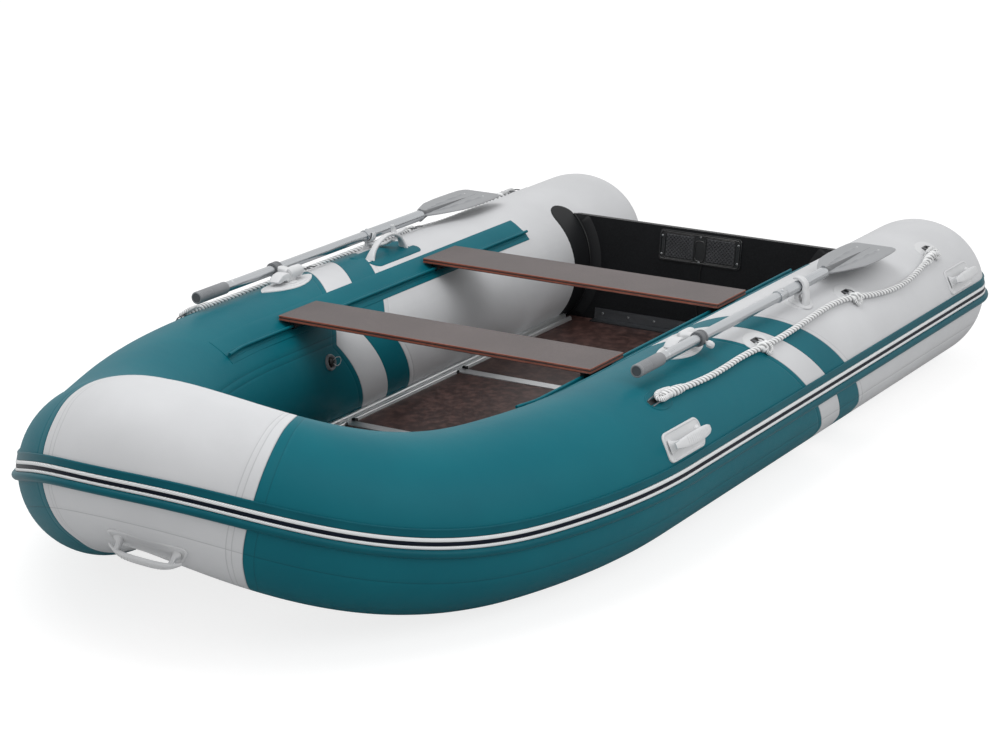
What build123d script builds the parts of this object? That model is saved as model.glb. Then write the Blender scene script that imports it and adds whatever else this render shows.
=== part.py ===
from build123d import *
import os
from math import atan2, cos, degrees, pi, radians, sin, sqrt, tan

# Inflatable boat with plywood floor, two sliding bench seats, transom and two oars.
# Millimetres. +X points to the bow, +Y to port, +Z up. The origin is under the middle of the
# boat's length, on the ground that the tubes and the keel stand on.

# Buoyancy tube
TUBE_R = 225.0
TUBE_Y = 625.0  # centre line of the boat to the axis of a tube
SKIN = 1.2  # coated fabric
STERN_CAP_X = -1621.0  # centre of the round stern end
STRAIGHT_END_X = 570.0
BOW_LENGTH = 1035.0  # from the end of the straight tube to the foremost corner of its axis
BOW_RISE = 236.0
BOW_SHAPE = [  # corners of the bow's axis: share of the length, of TUBE_Y and of the rise
    (0.0, 1.0, 0.0),
    (0.367, 0.877, 0.004),
    (0.685, 0.621, 0.174),
    (0.835, 0.435, 0.487),
    (1.0, 0.152, 0.945),
]
CHEEK, NOSE = 2, 3  # corners at which the bow's panels are joined
GLUE = 0.3  # between a piece and the fabric that it is bonded to
TUBE_TOP_Z = 2 * TUBE_R

# Rub rail, from the tube's equator
RAIL_TOP, RAIL_BOTTOM = 55.0, -20.0
RAIL_BAND = 4.0
RAIL_PROUD = 16.0
RAIL_BULGE_H = 24.0  # the round bulge along the lower edge
RAIL_STEP_H = 42.0  # from the lower edge to the middle of the flat band
RAIL_END_TURN = 52.0  # degrees that the rail turns round the stern end

# Bottom skin
BOTTOM_T = 1.5
SEAM_ANGLE = 35.0  # from the tube's underside, inboard
KEEL_SHAPE = [  # one line for each bow corner: share of the bow's length, of its rise
    (0.0, 0.0),
    (0.36, 0.045),
    (0.64, 0.19),
    (0.78, 0.50),
    (0.89, 1.06),
]

# Floor
SEAM_Z = TUBE_R * (1 - cos(radians(SEAM_ANGLE)))
FLOOR_TOP = round(SEAM_Z + 14.31, 2)
BOARD_T = 12.0
BOARD_TUBE_GAP = 17.6  # from the tube to a board's edge, at the floor's top
BOW_BOARD_SKIN_GAP = 7.2  # from the bow board's front corners down to the bottom skin
CROSS_X = [104.0, -526.0, -926.0]  # cross profiles between the boards
CROSS_W = 40.0
CROSS_WEB = 3.0
CROSS_END_GAP = 5.0  # from a cross profile to the cut ridge beside it
FLANGE_T = 3.0
STRINGER_OUTER_R, STRINGER_INNER_R = 9.0, 6.0
STRINGER_SPREAD = 24.0
STRINGER_START = 30.0  # aft of the end of the straight tube
STRINGER_LIP = 1.0  # of its base, inboard of the inner ridge
FIT = 0.3  # between pieces that are laid against each other

# Transom
TRANSOM_TOP_Z = 394.0
TRANSOM_TOP_X = -1329.0  # inner face, at the top
TRANSOM_RAKE = 7.2
TRANSOM_T = 35.0
PLATE_W, PLATE_H, PLATE_T = 295.0, 102.0, 7.0
PLATE_DROP = 9.0  # from the transom's top edge
PLATE_CORNER_R = 12.0
OUTER_PLATE_W, OUTER_PLATE_H, OUTER_PLATE_T = 300.0, 190.0, 5.0
COLLAR_W, COLLAR_T = 48.0, 2.5
BRACKET_LEG, BRACKET_T = 38.0, 4.0
BRACKET_COLLAR_GAP = 20.7

# Seats and the tracks that they slide on
SEAT_T = 15.0
SEAT_OVERHANG = 34.26  # past the track's bead
SEAT_W = 190.0
SEAT_CORNER_R = 4.0
SEAT_X = [266.0, -506.0]
TRACK_AFT_X = -995.0
TRACK_PAST_BEND = 120.0
TRACK_ANGLE = 42.0  # from the tube's top, inboard
TRACK_UP_W, TRACK_DOWN_W = 66.0, 25.0  # the strip, from its bead
TRACK_T = 2.5
BEAD_R = 4.5
BEAD_OFF = 13.0  # bead centre from the tube's surface
SEAT_LIFT = 16.5  # bead centre to the seat's underside
BEAD_WEB = 2.5
RUNNER_R = 8.0
RUNNER_TOP_W, RUNNER_NECK_W = 18.0, 12.0
RUNNER_PLAY = 0.5
RUNNER_SLOT_PLAY = 1.0
RUNNER_L = 150.0

# Oars
OARLOCK_X = 115.0
OAR_SLIDE = {"port": 0.0, "starboard": 20.0}  # how far forward each oar is clamped
PIVOT_Y = TUBE_Y + 15.0
SHAFT_Y = TUBE_Y + 65.0
SHAFT_Z = TUBE_TOP_Z + 35.0
SHAFT_R, SHAFT_WALL = 15.0, 1.5
SLEEVE_R = SHAFT_R + 2.0
SLEEVE_LAP = 40.0
GRIP_R, GRIP_L, GRIP_END_T = SHAFT_R + 3.0, 137.0, 8.0
GRIP_REACH = 353.0  # pivot to the end of the grip
SLEEVE_REACH = -550.0  # pivot to the step in the shaft
NECK_REACH = -837.0
BLADE_L, BLADE_W, BLADE_T = 388.0, 165.0, 5.0
SPINE_L, SPINE_W, SPINE_H = 200.0, 16.0, 12.0  # the rib down the middle of the blade
CLAMP_R, CLAMP_L = SHAFT_R + 6.5, 30.0
CLAMP_SET_BACK = 12.0
BASE_L, BASE_W, BASE_T = 250.0, 95.0, 3.0
BOSS_R, BOSS_TOP_Z = 30.0, TUBE_TOP_Z + 10.0
HEAD_L, HEAD_W, HEAD_TOP_Z = 140.0, 36.0, TUBE_TOP_Z + 48.0
ARM_H = 26.0
SWING_GAP = 0.6
KNOB_R, KNOB_REACH, KNOB_STEM_R = 11.0, 14.0, 4.0
KNOB_DROP = 20.0  # degrees below level

# Oar rests
REST_X = {"port": -540.0, "starboard": -400.0}
REST_L = 26.0
REST_T = {"port": 12.0, "starboard": 6.0}
REST_PLAY = 1.0
REST_FOOT_W = 30.0
PAD_T = 2.5
PORT_PAD_R = (62.0, 42.0)
ARCH_Y = TUBE_Y - 33.0
ARCH_AFT, ARCH_FORE = 45.0, 139.0  # the arch's feet from the fork
ARCH_RISE, ARCH_T = 58.0, 9.0
ARCH_PAD_L, ARCH_PAD_W = 260.0, 116.0

# Carry handles
HANDLE_X = [455.0, -1477.0]
HANDLE_L, HANDLE_W, HANDLE_T = 185.0, 80.0, 6.0
HANDLE_RAIL_GAP = 5.14
HANDLE_ANGLE = 90 - degrees((RAIL_TOP + HANDLE_RAIL_GAP + HANDLE_W / 2) / TUBE_R)
HANDLE_REACH = 36.0
HANDLE_BAR_R = 9.0
HANDLE_END = 5.0  # from the plate's end to the bar's
POST_L, POST_W, POST_IN = 14.0, 22.0, 22.0  # along the bar, across it, and in from its end
BOW_HANDLE_Y, BOW_HANDLE_ANGLE = 40.0, -46.0

# Lifelines, along the outer side of each tube: place along the boat, angle from the tube's top
ROPE_R = 8.0
ROPE_OFF = 11.5
# Each eye: place along the boat, the rope's angle, and how far inboard of it the patch lies.
EYES = [(448, 33.0, 0.0), (-155, 37.2, 30.0), (-775, 38.2, 30.0), (-1405, 37.3, 25.0)]
EYE_PATCH_T = 2.0
EYE_PATCH_R = (56.0, 32.0)
EYE_PLAY = 1.5
EYE_BAR = 4.0
LIFELINE = [
    (462, 32.8),
    (372, 34.2),
    (280, 36.1),
    (185, 37.2),
    (90, 36.9),
    (0, 36.0),
    (-80, 36.2),
    (-160, 37.3),
    (-250, 37.5),
    (-345, 37.0),
    (-440, 36.0),
    (-540, 34.9),
    (-630, 34.4),
    (-710, 35.6),
    (-785, 38.7),
    (-870, 43.0),
    (-965, 46.1),
    (-1060, 47.5),
    (-1160, 46.4),
    (-1250, 43.8),
    (-1335, 40.6),
    (-1420, 36.8),
]

VALVE_X, VALVE_ANGLE, VALVE_R, VALVE_PROUD = 241.0, 76.0, 24.0, 8.0

UP = Vector(0, 0, 1)
pieces = {}


def bow_corner(along, across, lift):
    return Vector(
        STRAIGHT_END_X + BOW_LENGTH * along, TUBE_Y * across, TUBE_R + BOW_RISE * lift
    )


AXIS = [bow_corner(*share) for share in BOW_SHAPE]  # port side, aft to fore
STERN = Vector(STERN_CAP_X, TUBE_Y, TUBE_R)


def flip(v):
    return Vector(v.X, -v.Y, v.Z)


def mitre(before, corner, after):
    """The plane in which two runs of a tube meet, facing forward along it."""
    way = (corner - before).normalized() + (after - corner).normalized()
    return Plane(origin=corner, z_dir=way.normalized())


def run_plane(start, end):
    """A plane across a run at its start: x outboard, y up, z along the run."""
    way = (end - start).normalized()
    return Plane(origin=start, x_dir=UP.cross(way).normalized(), z_dir=way)


def between(solid, start_plane, end_plane):
    part = solid.split(start_plane, keep=Keep.TOP) if start_plane else solid
    return part.split(end_plane, keep=Keep.BOTTOM) if end_plane else part


def run(start, end, section, start_plane, end_plane, extra):
    """A section, drawn about the tube's axis, carried along one run and cut at its mitres."""
    way = (end - start).normalized()
    plane = run_plane(start - way * extra, end)
    length = (end - start).length + 2 * extra
    face = plane * section
    return between(extrude(face, amount=length, dir=way), start_plane, end_plane)


def ring_points(radius, start_deg, end_deg, steps):
    """Points round the tube's axis, by angle above the equator on the outboard side."""
    turn = (end_deg - start_deg) / steps
    angles = [radians(start_deg + turn * i) for i in range(steps + 1)]
    return [(radius * cos(a), radius * sin(a)) for a in angles]


def mirrored(solid):
    return mirror(solid, about=Plane.XZ)


def add(name, solid):
    pieces[name] = solid


def both(name, solid):
    add(f"{name}_port", solid)
    add(f"{name}_starboard", mirrored(solid))


# ---------------------------------------------------------------- tubes

PATH = [STERN] + AXIS + [flip(v) for v in reversed(AXIS)] + [flip(STERN)]
MITRES = [mitre(PATH[i - 1], PATH[i], PATH[i + 1]) for i in range(1, len(PATH) - 1)]
LAST = len(AXIS)  # PATH[LAST] is the foremost corner on the port side


def tube_runs(radius, first, last, start_plane, end_plane):
    """Runs PATH[first] to PATH[last] of the tube at a radius, as one solid."""
    body = None
    for i in range(first, last):
        start = start_plane if i == first else MITRES[i - 1]
        end = end_plane if i == last - 1 else MITRES[i]
        part = run(PATH[i], PATH[i + 1], Circle(radius), start, end, radius)
        body = part if body is None else body + part
    return body


def hollow_runs(first, last):
    start, end = MITRES[first - 1], MITRES[last - 1]
    outside = tube_runs(TUBE_R, first, last, start, end)
    inside = tube_runs(TUBE_R - SKIN, first, last, start.offset(SKIN), end.offset(-SKIN))
    return outside - inside


def stern_run(radius, end_plane):
    """The straight tube with its round stern end."""
    straight = Pos(STERN) * Rot(0, 90, 0) * Cylinder(
        radius, AXIS[0].X - STERN.X + radius, align=(Align.CENTER, Align.CENTER, Align.MIN)
    )
    ball = Pos(STERN) * Sphere(radius)
    cap = ball.split(Plane(origin=STERN, z_dir=(1, 0, 0)), keep=Keep.BOTTOM)
    return (straight + cap).split(end_plane, keep=Keep.BOTTOM)


def make_tubes():
    side = stern_run(TUBE_R, MITRES[0]) - stern_run(TUBE_R - SKIN, MITRES[0].offset(-SKIN))
    both("side_tube", side)
    both("bow_shoulder", hollow_runs(1, 1 + CHEEK))
    both("bow_cheek", hollow_runs(1 + CHEEK, 1 + NOSE))
    first = 1 + NOSE
    last = len(PATH) - 1 - first
    add("bow_nose", hollow_runs(first, last))


def tube_space(grow=GLUE):
    """All that the tubes fill, grown by a clearance, for cutting what is bonded to them."""
    radius = TUBE_R + grow
    side = stern_run(radius, MITRES[0])
    runs = [
        run(PATH[i], PATH[i + 1], Circle(radius), MITRES[i - 1], MITRES[i], radius)
        for i in range(1, len(PATH) - 2)
    ]
    return [side, mirrored(side)] + runs


# ---------------------------------------------------------------- rub rail


def rail_outline():
    """Points of the rail's section about the tube's axis: outboard, up."""
    back_r = (TUBE_R + GLUE) / cos(RAIL_TWIST / 2)
    low, high = degrees(RAIL_BOTTOM / back_r), degrees(RAIL_TOP / back_r)
    back = ring_points(back_r, low, high, 6)
    band = back_r + RAIL_BAND
    bead = back_r + RAIL_PROUD
    front = [
        *ring_points(band - 1.5, high, high, 1)[:1],
        *ring_points(band, high - 1.5, high - 1.5, 1)[:1],
        (band + 0.5, RAIL_BOTTOM + RAIL_STEP_H),
        (band, RAIL_BOTTOM + 1.17 * RAIL_BULGE_H),
        (bead - 3, RAIL_BOTTOM + RAIL_BULGE_H),
        (bead, RAIL_BOTTOM + 0.67 * RAIL_BULGE_H),
        (bead, RAIL_BOTTOM + 0.38 * RAIL_BULGE_H),
        (bead - 4, RAIL_BOTTOM + 0.13 * RAIL_BULGE_H),
        (bead - 10, RAIL_BOTTOM),
    ]
    return back + front


def level_at(plane, way):
    """How far the level outboard line of a cut is turned round a run, in radians."""
    level = UP.cross(plane.z_dir).normalized()
    frame = run_plane(Vector(0, 0, 0), way)
    return atan2(level.dot(frame.y_dir), level.dot(frame.x_dir))


def cut_outline(points, way, plane, turn):
    """The outline turned round a run and carried along it to the plane that cuts it."""
    frame = run_plane(Vector(0, 0, 0), way)
    found = []
    for out, up in points:
        x = out * cos(turn) - up * sin(turn)
        y = out * sin(turn) + up * cos(turn)
        off = frame.x_dir * x + frame.y_dir * y
        slide = off.dot(plane.z_dir) / way.dot(plane.z_dir)
        found.append(plane.origin + off - way * slide)
    return make_face(Polyline(*found, close=True))


def follow(points, first, last, start_plane, end_plane):
    """An outline about the tube's axis carried along its runs, level at every corner."""
    body = None
    for i in range(first, last):
        way = (PATH[i + 1] - PATH[i]).normalized()
        start = start_plane if i == first else MITRES[i - 1]
        end = end_plane if i == last - 1 else MITRES[i]
        turns = (level_at(start, way), level_at(end, way))
        middle = Plane(origin=(start.origin + end.origin) / 2, z_dir=way)
        ends = [
            cut_outline(points, way, start, turns[0]),
            cut_outline(points, way, middle, sum(turns) / 2),
            cut_outline(points, way, end, turns[1]),
        ]
        part = loft(ends, ruled=True)
        body = part if body is None else body + part
    return body


def run_twist(i):
    way = PATH[i + 1] - PATH[i]
    return level_at(MITRES[i], way) - level_at(MITRES[i - 1], way)


RAIL_TWIST = max(abs(run_twist(i)) for i in range(1, LAST)) / 2  # from one section to the next


def make_rail():
    outline = rail_outline()
    across_port = Plane(origin=STERN, x_dir=(0, 1, 0), z_dir=(1, 0, 0))
    across_starboard = Plane(origin=flip(STERN), x_dir=(0, 1, 0), z_dir=(-1, 0, 0))
    rail = follow(outline, 0, len(PATH) - 1, across_port, across_starboard)
    face = across_port * make_face(Polyline(*outline, close=True))
    turn = revolve(face, Axis(STERN, (0, 0, 1)), RAIL_END_TURN)
    add("rub_rail", rail + turn + mirrored(turn))


# ---------------------------------------------------------------- bottom skin


def bottom_section(keel, edge):
    lift = Vector(0, 0, BOTTOM_T)
    return make_face(Polyline(keel, edge, edge + lift, keel + lift, close=True))


def seam(corner, inward):
    """Where the bottom skin meets the tube, at a corner of the tube's axis."""
    out, down = TUBE_R * sin(radians(SEAM_ANGLE)), TUBE_R * cos(radians(SEAM_ANGLE))
    return corner + inward * out - UP * down


def bow_keel(i):
    along, lift = KEEL_SHAPE[i]
    return Vector(STRAIGHT_END_X + BOW_LENGTH * along, 0, BOW_RISE * lift)


def bow_seam(i):
    return seam(AXIS[i], MITRES[i].z_dir.cross(UP).normalized())


def make_bottom():
    into_tube = 1.03  # the skin runs on into the tube, and is cut back to it below
    aft = transom_x(0) - TRANSOM_T
    places = [(Vector(aft, 0, 0), seam(Vector(aft, TUBE_Y, TUBE_R), Vector(0, -1, 0)))]
    places += [(bow_keel(i), bow_seam(i)) for i in range(len(KEEL_SHAPE))]
    sections = [
        bottom_section(keel, keel + (edge - keel) * into_tube) for keel, edge in places
    ]
    skin = loft(sections, ruled=True)
    for space in tube_space():
        skin = skin - space
    both("hull_bottom", max(skin.solids(), key=lambda s: s.volume))


# ---------------------------------------------------------------- transom


def transom_x(z):
    """The transom's inner face at a height."""
    return TRANSOM_TOP_X + (TRANSOM_TOP_Z - z) * tan(radians(TRANSOM_RAKE))


TRANSOM_FACE = Plane(  # x to port, y up the board, z forward out of its inner face
    origin=(TRANSOM_TOP_X, 0, TRANSOM_TOP_Z),
    x_dir=(0, 1, 0),
    z_dir=(cos(radians(TRANSOM_RAKE)), 0, sin(radians(TRANSOM_RAKE))),
)


def tube_rod(radius, y=TUBE_Y):
    """A straight rod on the tube's axis, as long as the whole boat."""
    return Pos(0, y, TUBE_R) * Rot(0, 90, 0) * Cylinder(radius, 4 * abs(STERN_CAP_X))


def make_transom():
    width = 2 * TUBE_Y
    board = TRANSOM_FACE * Pos(0, -TRANSOM_TOP_Z, 0) * Box(
        width, 2 * TRANSOM_TOP_Z, TRANSOM_T, align=(Align.CENTER, Align.CENTER, Align.MAX)
    )
    slope = (TUBE_R - TUBE_R * cos(radians(SEAM_ANGLE))) / (
        TUBE_Y - TUBE_R * sin(radians(SEAM_ANGLE))
    )
    base = BOTTOM_T + FIT + 1
    side = TUBE_Y
    outline = make_face(
        Polyline(
            (-side, base + side * slope),
            (0, base),
            (side, base + side * slope),
            (side, TRANSOM_TOP_Z),
            (-side, TRANSOM_TOP_Z),
            close=True,
        )
    )
    front = Plane(origin=(0, 0, 0), x_dir=(0, 1, 0), z_dir=(1, 0, 0)) * outline
    board = board & extrude(front, amount=2 * STERN_CAP_X)
    rod = tube_rod(TUBE_R + GLUE)
    board = board - rod - mirrored(rod)
    board = max(board.solids(), key=lambda s: s.volume)
    add("transom", board)

    def plate(width, height, thick, face, drop):
        up = -drop - height / 2
        slab = Box(width, height, thick, align=(Align.CENTER, Align.CENTER, Align.MIN))
        slab = fillet(slab.edges().filter_by(Axis.Z), PLATE_CORNER_R)
        return face * Pos(0, up, 0) * slab

    inner = TRANSOM_FACE.offset(FIT)
    aft = Plane(
        origin=TRANSOM_FACE.origin - TRANSOM_FACE.z_dir * (TRANSOM_T + FIT),
        x_dir=(0, -1, 0),
        z_dir=-TRANSOM_FACE.z_dir,
    )
    add("motor_plate_inner", plate(PLATE_W, PLATE_H, PLATE_T, inner, PLATE_DROP))
    outer = plate(OUTER_PLATE_W, OUTER_PLATE_H, OUTER_PLATE_T, aft, PLATE_DROP)
    add("motor_plate_outer", outer)

    foot = FLOOR_TOP + FIT
    back = transom_x(foot) + FIT
    up_leg = BRACKET_LEG
    collar_r = TUBE_R + GLUE + COLLAR_W
    collar_in = sqrt(collar_r**2 - (TUBE_R - FLOOR_TOP - up_leg) ** 2)
    half = round(TUBE_Y - collar_in - BRACKET_COLLAR_GAP)
    angle = make_face(
        Polyline(
            (back, foot),
            (back + BRACKET_LEG, foot),
            (back + BRACKET_LEG, foot + BRACKET_T),
            (back + BRACKET_T, foot + BRACKET_T),
            (transom_x(foot + up_leg) + FIT + BRACKET_T, foot + up_leg),
            (transom_x(foot + up_leg) + FIT, foot + up_leg),
            close=True,
        )
    )
    angle = Plane.XZ * angle
    add("floor_bracket", extrude(angle, amount=half, both=True))


def make_collar():
    """The fabric collar that bonds the transom to a tube, on its inner face."""
    start = TUBE_R + GLUE
    ring = tube_rod(start + COLLAR_W) - tube_rod(start)
    slab = TRANSOM_FACE.offset(FIT) * Box(
        3 * TUBE_Y, 3 * TRANSOM_TOP_Z, COLLAR_T, align=(Align.CENTER, Align.CENTER, Align.MIN)
    )
    on_board = ring & slab
    sleeve = tube_rod(start + COLLAR_T) - tube_rod(start)
    near = TRANSOM_FACE.offset(FIT) * Box(
        3 * TUBE_Y, 3 * TRANSOM_TOP_Z, COLLAR_W, align=(Align.CENTER, Align.CENTER, Align.MIN)
    )
    on_tube = sleeve & near
    floor = FLOOR_TOP + FIT + 3
    high = TRANSOM_TOP_Z - 2
    box = Pos(TRANSOM_TOP_X, TUBE_Y / 2, (floor + high) / 2) * Box(400, TUBE_Y, high - floor)
    collar = (on_board + on_tube) & box
    collar = max(collar.solids(), key=lambda s: s.volume)
    add("transom_collars", Compound(children=[collar, mirrored(collar)]))


# ---------------------------------------------------------------- floor


def board(name, outline):
    slab = extrude(make_face(Polyline(*outline, close=True)), amount=BOARD_T)
    add(name, Pos(0, 0, FLOOR_TOP - BOARD_T) * slab)


def ridge_y(radius, height):
    """Where a rod of this radius and height along the boat touches the tube from inboard."""
    reach = TUBE_R + GLUE + radius
    return TUBE_Y - sqrt(reach**2 - (TUBE_R - height) ** 2)


def floor_edge():
    """Half the width of the boards between the tubes."""
    inboard = sqrt((TUBE_R + GLUE) ** 2 - (TUBE_R - FLOOR_TOP) ** 2)
    return round(TUBE_Y - inboard - BOARD_TUBE_GAP, 1)


def cross_profile(x, half):
    """The H-shaped bar that joins two boards."""
    gap = FLANGE_T / 2 + FIT
    top = Pos(x, 0, FLOOR_TOP + gap) * Box(CROSS_W, 2 * half, FLANGE_T)
    low_l = 2 * half - 2 * CROSS_W
    low = Pos(x, 0, FLOOR_TOP - BOARD_T - gap) * Box(CROSS_W, low_l, FLANGE_T)
    core_h = BOARD_T + 2 * FIT + FLANGE_T
    core = Pos(x, 0, FLOOR_TOP - BOARD_T / 2) * Box(CROSS_WEB, low_l, core_h)
    return top + core + low


def make_floor():
    web = CROSS_WEB / 2 + FIT
    half = floor_edge()
    back = transom_x(FLOOR_TOP - BOARD_T) + 1
    ends = [*CROSS_X, back - web]
    for name, fore, aft in zip(
        ["floor_board_fore", "floor_board_middle", "floor_board_aft"], ends, ends[1:]
    ):
        board(name, [(fore - web, half), (fore - web, -half), (aft + web, -half), (aft + web, half)])
    keel, edge = bow_keel(1), bow_seam(1)
    skin_z = FLOOR_TOP - BOARD_T - BOW_BOARD_SKIN_GAP - BOTTOM_T
    end_x, end_half = AXIS[1].X, round(edge.Y * (skin_z - keel.Z) / (edge.Z - keel.Z))
    turn_x = STRAIGHT_END_X
    start = CROSS_X[0] + web
    board(
        "floor_board_bow",
        [
            (start, half),
            (start, -half),
            (turn_x, -half),
            (end_x, -end_half),
            (end_x, end_half),
            (turn_x, half),
        ],
    )
    make_stringers(half)


def make_stringers(half):
    """Profiles along the boards' edges, and the cross profiles between them."""
    outer_z = FLOOR_TOP + STRINGER_OUTER_R
    outer_y = ridge_y(STRINGER_OUTER_R, outer_z)
    inner_y = outer_y - STRINGER_SPREAD
    base_z = FLOOR_TOP + FIT
    base_in = inner_y - STRINGER_INNER_R - STRINGER_LIP
    base_out = half + FIT + FLANGE_T
    base = make_face(
        Polyline(
            (base_in, base_z),
            (half + FIT, base_z),
            (half + FIT, FLOOR_TOP - BOARD_T),
            (base_out, FLOOR_TOP - BOARD_T),
            (base_out, base_z + FLANGE_T),
            (base_in, base_z + FLANGE_T),
            close=True,
        )
    )
    outer = Pos(outer_y, outer_z) * Circle(STRINGER_OUTER_R)
    inner = Pos(inner_y, base_z + STRINGER_INNER_R) * Circle(STRINGER_INNER_R)
    below = Pos(outer_y, base_z) * Rectangle(60, 30, align=(Align.CENTER, Align.MAX))
    section = base + (outer + inner - below)
    aft = transom_x(FLOOR_TOP) + COLLAR_W + 5
    stringer = extrude(across(section), amount=STRAIGHT_END_X - STRINGER_START - aft)
    stringer = Pos(aft, 0, 0) * stringer
    notch_w = CROSS_W + 2 * CROSS_END_GAP
    notch_out = outer_y - STRINGER_OUTER_R - 1  # the outer ridge runs on past each notch
    for x in CROSS_X:
        low = Pos(x, notch_out, base_z - 1)
        stringer = stringer - low * Box(
            notch_w, 3 * STRINGER_SPREAD, 30, align=(Align.CENTER, Align.MAX, Align.MIN)
        )
    add("stringers", Compound(children=[stringer, mirrored(stringer)]))
    crosses = [cross_profile(x, notch_out - FIT) for x in CROSS_X]
    add("cross_profiles", Compound(children=crosses))


# ---------------------------------------------------------------- seats and tracks


def on_tube(angle, off, y_sign=-1):
    """Across the boat: a point off the port tube's surface, by angle from its top."""
    reach = TUBE_R + off
    return TUBE_Y + y_sign * reach * sin(radians(angle)), TUBE_R + reach * cos(radians(angle))


def across(face):
    return Plane(origin=(0, 0, 0), x_dir=(0, 1, 0), z_dir=(1, 0, 0)) * face


def arc_strip(angle, half_width, off, thick, y_sign=-1, steps=6):
    """A strip bent round the tube, across the boat."""
    spread = degrees(half_width / TUBE_R)
    turns = [angle - spread + 2 * spread * i / steps for i in range(steps + 1)]
    low = [on_tube(a, off, y_sign) for a in turns]
    high = [on_tube(a, off + thick, y_sign) for a in reversed(turns)]
    return make_face(Polyline(*low, *high, close=True))


def bead_place():
    return on_tube(TRACK_ANGLE, BEAD_OFF)


def make_tracks():
    """Strips with a bead on a web, bonded along the tubes' inner sides."""
    middle = 90 + TRACK_ANGLE
    upper = middle - degrees(TRACK_UP_W / TUBE_R)
    lower = middle + degrees(TRACK_DOWN_W / TUBE_R)
    low = ring_points(TUBE_R + GLUE, upper, lower, 10)
    high = ring_points(TUBE_R + GLUE + TRACK_T, lower, upper, 10)
    strip = make_face(Polyline(*low, *high, close=True))
    reach = TUBE_R + BEAD_OFF
    centre = (reach * cos(radians(middle)), reach * sin(radians(middle)))
    web = Pos(*centre) * Rot(0, 0, TRACK_ANGLE) * Rectangle(
        BEAD_WEB, BEAD_OFF - GLUE - TRACK_T + 1, align=(Align.CENTER, Align.MAX)
    )
    section = strip + web + Pos(*centre) * Circle(BEAD_R)
    aft = Plane(origin=(TRACK_AFT_X, 0, 0), z_dir=(1, 0, 0))
    fore = Plane(origin=(STRAIGHT_END_X + TRACK_PAST_BEND, 0, 0), z_dir=(1, 0, 0))
    track = run(STERN, PATH[1], section, aft, MITRES[0], TUBE_R)
    track = track + run(PATH[1], PATH[2], section, MITRES[0], fore, TUBE_R)
    add("seat_tracks", Compound(children=[track, mirrored(track)]))


def runner(x):
    """The channel under a seat's end, which slides on the track's bead."""
    y, z = bead_place()
    seat_under = z + SEAT_LIFT
    neck = make_face(
        Polyline(
            (y - RUNNER_TOP_W / 2, seat_under),
            (y + RUNNER_TOP_W / 2, seat_under),
            (y + RUNNER_NECK_W / 2, z),
            (y - RUNNER_NECK_W / 2, z),
            close=True,
        )
    )
    hole = Pos(y, z) * Circle(BEAD_R + RUNNER_PLAY)
    slot = Pos(y, z) * Rot(0, 0, TRACK_ANGLE) * Rectangle(
        BEAD_WEB + 2 * RUNNER_SLOT_PLAY, 3 * RUNNER_R, align=(Align.CENTER, Align.MAX)
    )
    section = (Pos(y, z) * Circle(RUNNER_R) + neck) - hole - slot
    return Pos(x - RUNNER_L / 2, 0, 0) * extrude(across(section), amount=RUNNER_L)


def make_seats():
    bead_y, bead_z = bead_place()
    under = bead_z + SEAT_LIFT
    length = 2 * (bead_y + SEAT_OVERHANG)
    for name, x in zip(["seat_front", "seat_rear"], SEAT_X):
        plank = Pos(x, 0, under + SEAT_T / 2) * Box(SEAT_W, length, SEAT_T)
        add(name, fillet(plank.edges().filter_by(Axis.Z), SEAT_CORNER_R))
        shoe = runner(x)
        add(f"{name}_runners", Compound(children=[shoe, mirrored(shoe)]))


# ---------------------------------------------------------------- oars


def rod_x(radius, start, end, y, z):
    """A round rod along the boat."""
    length = abs(end - start)
    return Pos((start + end) / 2, y, z) * Rot(0, 90, 0) * Cylinder(radius, length)


def pointed_oval(length, width):
    radius = (length**2 + width**2) / (4 * width)
    rise = radius - width / 2
    return (Pos(0, -rise) * Circle(radius)) & (Pos(0, rise) * Circle(radius))


def tube_shell(off, thick):
    return tube_rod(TUBE_R + off + thick) - tube_rod(TUBE_R + off)


def top_patch(outline, thick):
    """A patch bonded to the upper side of the port tube, drawn from above."""
    column = extrude(Pos(0, 0, TUBE_R) * outline, amount=2 * TUBE_R)
    return column & tube_shell(GLUE, thick)


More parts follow.
